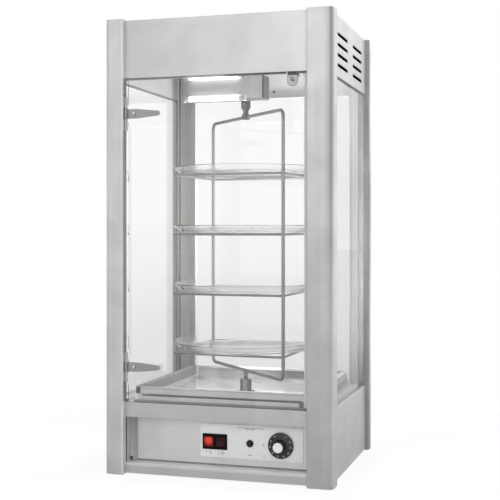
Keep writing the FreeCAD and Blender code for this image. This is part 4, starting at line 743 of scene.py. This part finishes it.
# Dark paint as painted shade on the end plate, and the same paint on the sole under the batten.
shade_paint_dark = moulded("batten_end_painted_shade", (0.15, 0.15, 0.15), (0.2, 0.2, 0.2), (0.7, 0.85))
dulled(shade_paint_dark, 0.1)
piece = bar("batten_end", (51.05, -53.6, 753.4), (55, -14.4, 799.6))
pick(lambda middle, way: way.x > 0.9)
bpy.ops.mesh.inset(thickness=0.004, depth=0.0006)
close(piece, "case", "batten_paint", shade_paint_dark)
piece = bar("batten_sole", (-117.6, -53.6, 752.3), (55, -14.4, 752.95))
pick(lambda middle, way: abs(way.z) > 0.9, "EDGE")
bpy.ops.mesh.bevel(offset=0.004, segments=3)
close(piece, "case", "batten_paint", shade_paint_dark)
lamp, lamp_tree, lamp_shader = new_material("lamp_white")
lamp_shader.inputs["Base Color"].default_value = (0.9, 0.9, 0.88, 1)
lamp_glow = spread(lamp_tree, noise(lamp_tree, object_place(lamp_tree), 30, 2), 0.3, 0.7, 0, 1)
lamp_tree.links.new(blend_colour(lamp_tree, lamp_glow, (1, 0.98, 0.95, 1), (1, 1, 0.98, 1)),
                    lamp_shader.inputs["Emission Color"])
lamp_shader.inputs["Emission Strength"].default_value = 3
cap_metal = belt_finished("tube_cap", "X", (0.7, 0.7, 0.69), (0.8, 0.8, 0.79), (0.3, 0.4), 0.0005, 0.8)
TO_RIGHT = (0, math.pi / 2, 0)
TUBE_RINGS = ((3, 4), (4.7, 4.3), (5.3, 5), (5.3, 119), (4.7, 119.7), (3, 120))
CAP_RINGS = ((4.6, 0), (5.5, 0.6), (5.5, 7.2), (4.8, 8), (4.4, 8))
for tag, level in (("upper", 798.9), ("lower", 754.1)):
    left = (-112, -61.5, level)
    piece = turned("tube_%s" % tag, TUBE_RINGS, left, TO_RIGHT)
    close(piece, "case", "lamp_white", lamp, "lamp_tube_%s" % tag)
    for end, low in (("left", 0.1), ("right", 115.9)):
        rings = [(radius, low + rise) for radius, rise in CAP_RINGS]
        piece = turned("tube_cap_%s_%s" % (tag, end), rings, left, TO_RIGHT)
        close(piece, "case", "overlay_silver", cap_metal)

# Control plate: a pale silver overlay, printed with plain marks for the switches, the lamp and the dial.
# It is a thin sheet glued to the control panel, and the marks are flat print.
overlay = belt_finished("overlay_silver", "X", (0.66, 0.655, 0.66), (0.74, 0.735, 0.74),
                        (0.4, 0.5), 0.0006, 0.25)
dress(overlay, "control_plate")
print_grey = moulded("print_grey", (0.09, 0.09, 0.09), (0.14, 0.14, 0.14), (0.6, 0.7))
PRINT_THICKNESS = 0.00004


def printed(name, words, size, place, turn, body, slot, material):
    """Flat lettering, turned into a thin mesh on the surface that it is printed on."""
    bpy.ops.object.select_all(action="DESELECT")
    bpy.ops.object.text_add()
    text = bpy.context.object
    text.name = name
    text.data.body = words
    text.data.size = size / 1000
    text.data.align_x = "CENTER"
    text.data.align_y = "CENTER"
    text.data.extrude = PRINT_THICKNESS
    bpy.ops.object.convert(target="MESH")
    piece = bpy.context.object
    piece.rotation_euler = turn
    piece.location = [value / 1000 for value in place]
    bpy.ops.object.transform_apply(location=True, rotation=True, scale=True)
    bpy.ops.object.mode_set(mode="EDIT")
    close(piece, body, slot, material)


for name, words, size, x, z in (("mark_left_switch", "I  O", 8, -25.5, 47),
                                ("mark_right_switch", "I  O", 8, -0.5, 47),
                                ("mark_lamp_above", "ON  OFF", 5, 58.5, 96),
                                ("mark_lamp", "~", 14, 58.5, 47),
                                ("mark_dial_zero", "0", 7, 86, 68),
                                ("mark_dial_high", "I", 8, 87, 45)):
    printed(name, words, size, (x, -166.06, z), TO_FRONT, "case", "black_plastic", print_grey)
piece = bar("mark_rule", (33, -166.1, 98.4), (88, -166.02, 99.2))
pick(lambda middle, way: way.y < -0.9)
bpy.ops.mesh.inset(thickness=0.0001, depth=0)
close(piece, "case", "black_plastic", print_grey)

# Rockers: clear red paddles, the left one lit from inside, in one black moulded frame.
# Each paddle turns on pins in the frame, which is clipped into the control plate.
switch_black = moulded("switch_black", (0.003, 0.003, 0.003), (0.007, 0.007, 0.007), (0.5, 0.65))
dulled(switch_black, 0.1)
dress(switch_black, "switch_housing")
ROCKER_GLOSS = 0.15
red = moulded("rocker_red", (0.1, 0.006, 0.005), (0.16, 0.016, 0.012), (0.3, 0.45))
dulled(red, ROCKER_GLOSS)
red_tree = red.node_tree
red_shader = red_tree.nodes["Principled BSDF"]
BULB_PLACE = (-0.0255, -0.168, 0.072)
red_place = red_tree.nodes.new("ShaderNodeVectorMath")
red_place.operation = "DISTANCE"
red_tree.links.new(object_place(red_tree), red_place.inputs[0])
red_place.inputs[1].default_value = BULB_PLACE
red_glow = spread(red_tree, red_place.outputs["Value"], 0.004, 0.0115, 1, 0)
red_tree.links.new(blend_colour(red_tree, red_glow, (0.05, 0.001, 0.001, 1), (1, 0.1, 0.07, 1)),
                   red_shader.inputs["Emission Color"])
red_shader.inputs["Emission Strength"].default_value = 0.55
dress(red, "rocker_left")
dark_red = moulded("rocker_dark_red", (0.025, 0.003, 0.008), (0.05, 0.007, 0.014), (0.3, 0.45))
dulled(dark_red, ROCKER_GLOSS)
dress(dark_red, "rocker_right")

# Pilot lamp: a dark red lens pressed into a black collar.
# Both are moulded plastic, and the collar sits on the control plate between the rockers and the dial.
pilot_red = moulded("pilot_red", (0.01, 0.001, 0.002), (0.025, 0.003, 0.005), (0.2, 0.35))
PILOT_PLACE = (58.5, -166, 69)
LENS_RINGS = ((5.2, 0.4), (5.2, 2.2), (4.8, 3.6), (3.6, 4.8), (2, 5.3), (0.8, 5.4))
piece = turned("pilot_lens", LENS_RINGS, PILOT_PLACE, TO_FRONT)
close(piece, "case", "pilot_red", pilot_red, "pilot_lamp", angle=60)
COLLAR_RINGS = ((7.2, 0.1), (7.2, 1.4), (6.6, 2.2), (5.7, 2.3), (5.3, 1.6), (5.3, 0.4))
piece = turned("pilot_collar", COLLAR_RINGS, PILOT_PLACE, TO_FRONT)
close(piece, "case", "black_plastic", black_plastic)

# Dial knob: a black moulding with a numbered skirt, a ribbed grip and a bright spun cap.
# It is pushed on the spindle of the thermostat, and its numbers are printed round the skirt.
dress(moulded("knob_black", (0.012, 0.012, 0.013), (0.045, 0.045, 0.047), (0.3, 0.45)), "knob")
cap_silver = belt_finished("cap_silver", "X", (0.86, 0.86, 0.85), (0.95, 0.95, 0.94),
                           (0.2, 0.3), 0.0006, 0.6)
dress(cap_silver, "knob_cap")
print_white = moulded("print_white", (0.5, 0.5, 0.5), (0.56, 0.56, 0.56), (0.5, 0.6))
DIAL_X = 120.8
DIAL_Y = -171.1
DIAL_Z = 69
DIAL_RADIUS = 20.5
DIAL_FIRST = 30
DIAL_STEP = 33
SKIRT_LEAN = math.radians(75)
for number in range(10):
    angle = math.radians(DIAL_FIRST + DIAL_STEP * number)
    place = (DIAL_X + DIAL_RADIUS * math.sin(angle), DIAL_Y, DIAL_Z + DIAL_RADIUS * math.cos(angle))
    words = str(number * 10)
    printed("dial_" + words, words, 4.4, place, (SKIRT_LEAN, angle, 0), "knob", "cap_silver", print_white)

# Parts inside the base: thermostat, strip heater and terminal block, out of sight.
# They are bought pieces: a grey moulded case, a sheathed rod browned by heat, and a white moulding.
dress(moulded("thermostat_grey", (0.3, 0.3, 0.29), (0.4, 0.4, 0.39), (0.4, 0.6)), "thermostat")
element_sheath = belt_finished("element_sheath", "X", (0.2, 0.17, 0.15), (0.38, 0.34, 0.3), (0.4, 0.6))
dress(element_sheath, "heating_element")
dress(moulded("terminal_white", (0.8, 0.79, 0.75), (0.7, 0.69, 0.65), (0.3, 0.5)), "terminal_block")

# Studio: a white sweep under soft boxes, with the floor kept for the contact shadow.
# The camera sees plain white round the case, and the steel mirrors a room that is toned by direction.
# A weak lamp stands in the chamber for the light of the tubes.
bpy.ops.object.select_all(action="DESELECT")
bpy.ops.mesh.primitive_plane_add(size=40, location=(0, 0, -0.0005))
floor = bpy.context.object
floor.name = "studio_floor"
floor_paint, floor_tree, floor_shader = new_material("studio_white")
floor_shader.inputs["Base Color"].default_value = (0.85, 0.85, 0.85, 1)
floor_shader.inputs["Roughness"].default_value = 0.9
floor_shader.inputs["Specular IOR Level"].default_value = 0.1
floor_path = floor_tree.nodes.new("ShaderNodeLightPath")
floor_white = floor_tree.nodes.new("ShaderNodeEmission")
floor_white.inputs["Color"].default_value = (1, 1, 1, 1)
floor_mix = floor_tree.nodes.new("ShaderNodeMixShader")
seen = sums(floor_tree, floor_path.outputs["Is Camera Ray"], floor_path.outputs["Is Transmission Ray"],
            "MAXIMUM")
floor_reach = floor_tree.nodes.new("ShaderNodeVectorMath")
floor_reach.operation = "LENGTH"
floor_tree.links.new(object_place(floor_tree), floor_reach.inputs[0])
floor_fade = spread(floor_tree, floor_reach.outputs["Value"], 0.3, 0.9, 0.88, 1)
floor_tree.links.new(sums(floor_tree, seen, floor_fade, "MULTIPLY"), floor_mix.inputs[0])
floor_tree.links.new(floor_shader.outputs[0], floor_mix.inputs[1])
floor_tree.links.new(floor_white.outputs[0], floor_mix.inputs[2])
floor_sheen = floor_tree.nodes.new("ShaderNodeEmission")
floor_sheen.inputs["Color"].default_value = (1, 1, 1, 1)
floor_far = spread(floor_tree, floor_reach.outputs["Value"], 0.5, 3.0, 0.55, 1.1)
floor_tree.links.new(floor_far, floor_sheen.inputs["Strength"])
floor_last = floor_tree.nodes.new("ShaderNodeMixShader")
mirrored = sums(floor_tree, floor_path.outputs["Is Glossy Ray"], seen, "SUBTRACT")
floor_tree.links.new(mirrored, floor_last.inputs[0])
floor_tree.links.new(floor_mix.outputs[0], floor_last.inputs[1])
floor_tree.links.new(floor_sheen.outputs[0], floor_last.inputs[2])
floor_tree.links.new(floor_last.outputs[0], floor_tree.nodes["Material Output"].inputs["Surface"])
floor.data.materials.append(floor_paint)


def blend_value(tree, factor, first, second):
    """One number that goes from the first to the second with a factor."""
    node = tree.nodes.new("ShaderNodeMix")
    for socket, value in ((node.inputs[0], factor), (node.inputs[2], first), (node.inputs[3], second)):
        if isinstance(value, bpy.types.NodeSocket):
            tree.links.new(value, socket)
        else:
            socket.default_value = value
    return node.outputs[0]


world = bpy.data.worlds.new("studio")
bpy.context.scene.world = world
world.use_nodes = True
air = world.node_tree
air_light = air.nodes["Background"]
air_light.inputs["Color"].default_value = (1, 1, 1, 1)
air_light.inputs["Strength"].default_value = 0.7
air_path = air.nodes.new("ShaderNodeLightPath")
air_place = air.nodes.new("ShaderNodeTexCoord")
air_axes = air.nodes.new("ShaderNodeSeparateXYZ")
air.links.new(air_place.outputs["Generated"], air_axes.inputs[0])
air_depth = spread(air, air_axes.outputs["Y"], -0.9, 0.9, 0.82, 1.05)
air_front = spread(air, air_axes.outputs["Z"], -0.3, 0.35, 0.64, 1.22)
air_behind = spread(air, air_axes.outputs["Z"], -0.12, 0.12, 1.5, 1.0)
air_rise = blend_value(air, spread(air, air_axes.outputs["Y"], -0.2, 0.2, 0, 1), air_front, air_behind)
air_side = blend_value(air, spread(air, air_axes.outputs["Z"], 0.02, 0.15, 0, 1),
                       spread(air, air_axes.outputs["X"], -0.45, -0.2, 0.97, 1.02),
                       spread(air, air_axes.outputs["X"], -0.45, -0.2, 0.74, 1.5))
air_flag = blend_value(air, spread(air, air_axes.outputs["X"], 0.4, 0.75, 0, 1), 1.0,
                       spread(air, air_axes.outputs["Z"], -0.2, 0.1, 0.9, 0.2))
air_side = sums(air, air_side, air_flag, "MULTIPLY")
air_sheen = air.nodes.new("ShaderNodeBackground")
air_sheen.inputs["Color"].default_value = (1, 1, 1, 1)
air_tone = sums(air, sums(air, air_depth, air_rise, "MULTIPLY"), air_side, "MULTIPLY")
air.links.new(air_tone, air_sheen.inputs["Strength"])
air_white = air.nodes.new("ShaderNodeBackground")
air_white.inputs["Color"].default_value = (1, 1, 1, 1)
air_white.inputs["Strength"].default_value = 1
air_glossy = air.nodes.new("ShaderNodeMixShader")
air.links.new(air_path.outputs["Is Glossy Ray"], air_glossy.inputs[0])
air.links.new(air_light.outputs[0], air_glossy.inputs[1])
air.links.new(air_sheen.outputs[0], air_glossy.inputs[2])
air_seen = air.nodes.new("ShaderNodeMixShader")
air_direct = sums(air, air_path.outputs["Is Camera Ray"], air_path.outputs["Is Transmission Ray"],
                  "MAXIMUM")
air.links.new(air_direct, air_seen.inputs[0])
air.links.new(air_glossy.outputs[0], air_seen.inputs[1])
air.links.new(air_white.outputs[0], air_seen.inputs[2])
air.links.new(air_seen.outputs[0], air.nodes["World Output"].inputs["Surface"])

for name, place, aim, width, height, power in (
        ("softbox_left", (-0.6, -3.2, 1.5), (0, 0, 0.6), 1.0, 0.9, 16),
        ("softbox_front", (1.1, -2.4, 1.6), (0, 0, 0.5), 1.4, 1.4, 16),
        ("softbox_top", (0.3, -0.6, 2.6), (0, 0, 0.5), 1.8, 1.8, 18),
        ("softbox_right", (2.4, -0.3, 0.45), (0, 0, 0.4), 1.2, 0.8, 16)):
    lamp_data = bpy.data.lights.new(name, "AREA")
    lamp_data.shape = "RECTANGLE"
    lamp_data.size = width
    lamp_data.size_y = height
    lamp_data.energy = power
    lamp_object = bpy.data.objects.new(name, lamp_data)
    bpy.context.scene.collection.objects.link(lamp_object)
    lamp_object.location = place
    lamp_object.rotation_euler = (Vector(aim) - Vector(place)).to_track_quat("-Z", "Y").to_euler()
    lamp_object.visible_glossy = False
    lamp_object.visible_transmission = False
glow_data = bpy.data.lights.new("chamber_glow", "POINT")
glow_data.energy = 14
glow_data.shadow_soft_size = 0.1
glow = bpy.data.objects.new("chamber_glow", glow_data)
bpy.context.scene.collection.objects.link(glow)
glow.location = (0.08, 0.03, 0.5)
glow.visible_glossy = False
glow.visible_transmission = False

# Camera: level, a little right of the front, with the lens and shift of the photograph's framing.
# Its place and turn were fitted to corners of the case in the photograph.
camera_data = bpy.data.cameras.new("camera")
camera_data.sensor_width = 36
camera_data.lens = 75.34
camera_data.shift_y = -0.0451
camera_data.clip_end = 100
camera = bpy.data.objects.new("camera", camera_data)
bpy.context.scene.collection.objects.link(camera)
camera.location = (0.64338, -2.10897, 0.4882)
camera.rotation_euler = (math.radians(90), 0, math.radians(16.75))
bpy.context.scene.camera = camera
bpy.context.scene.view_settings.view_transform = "Standard"
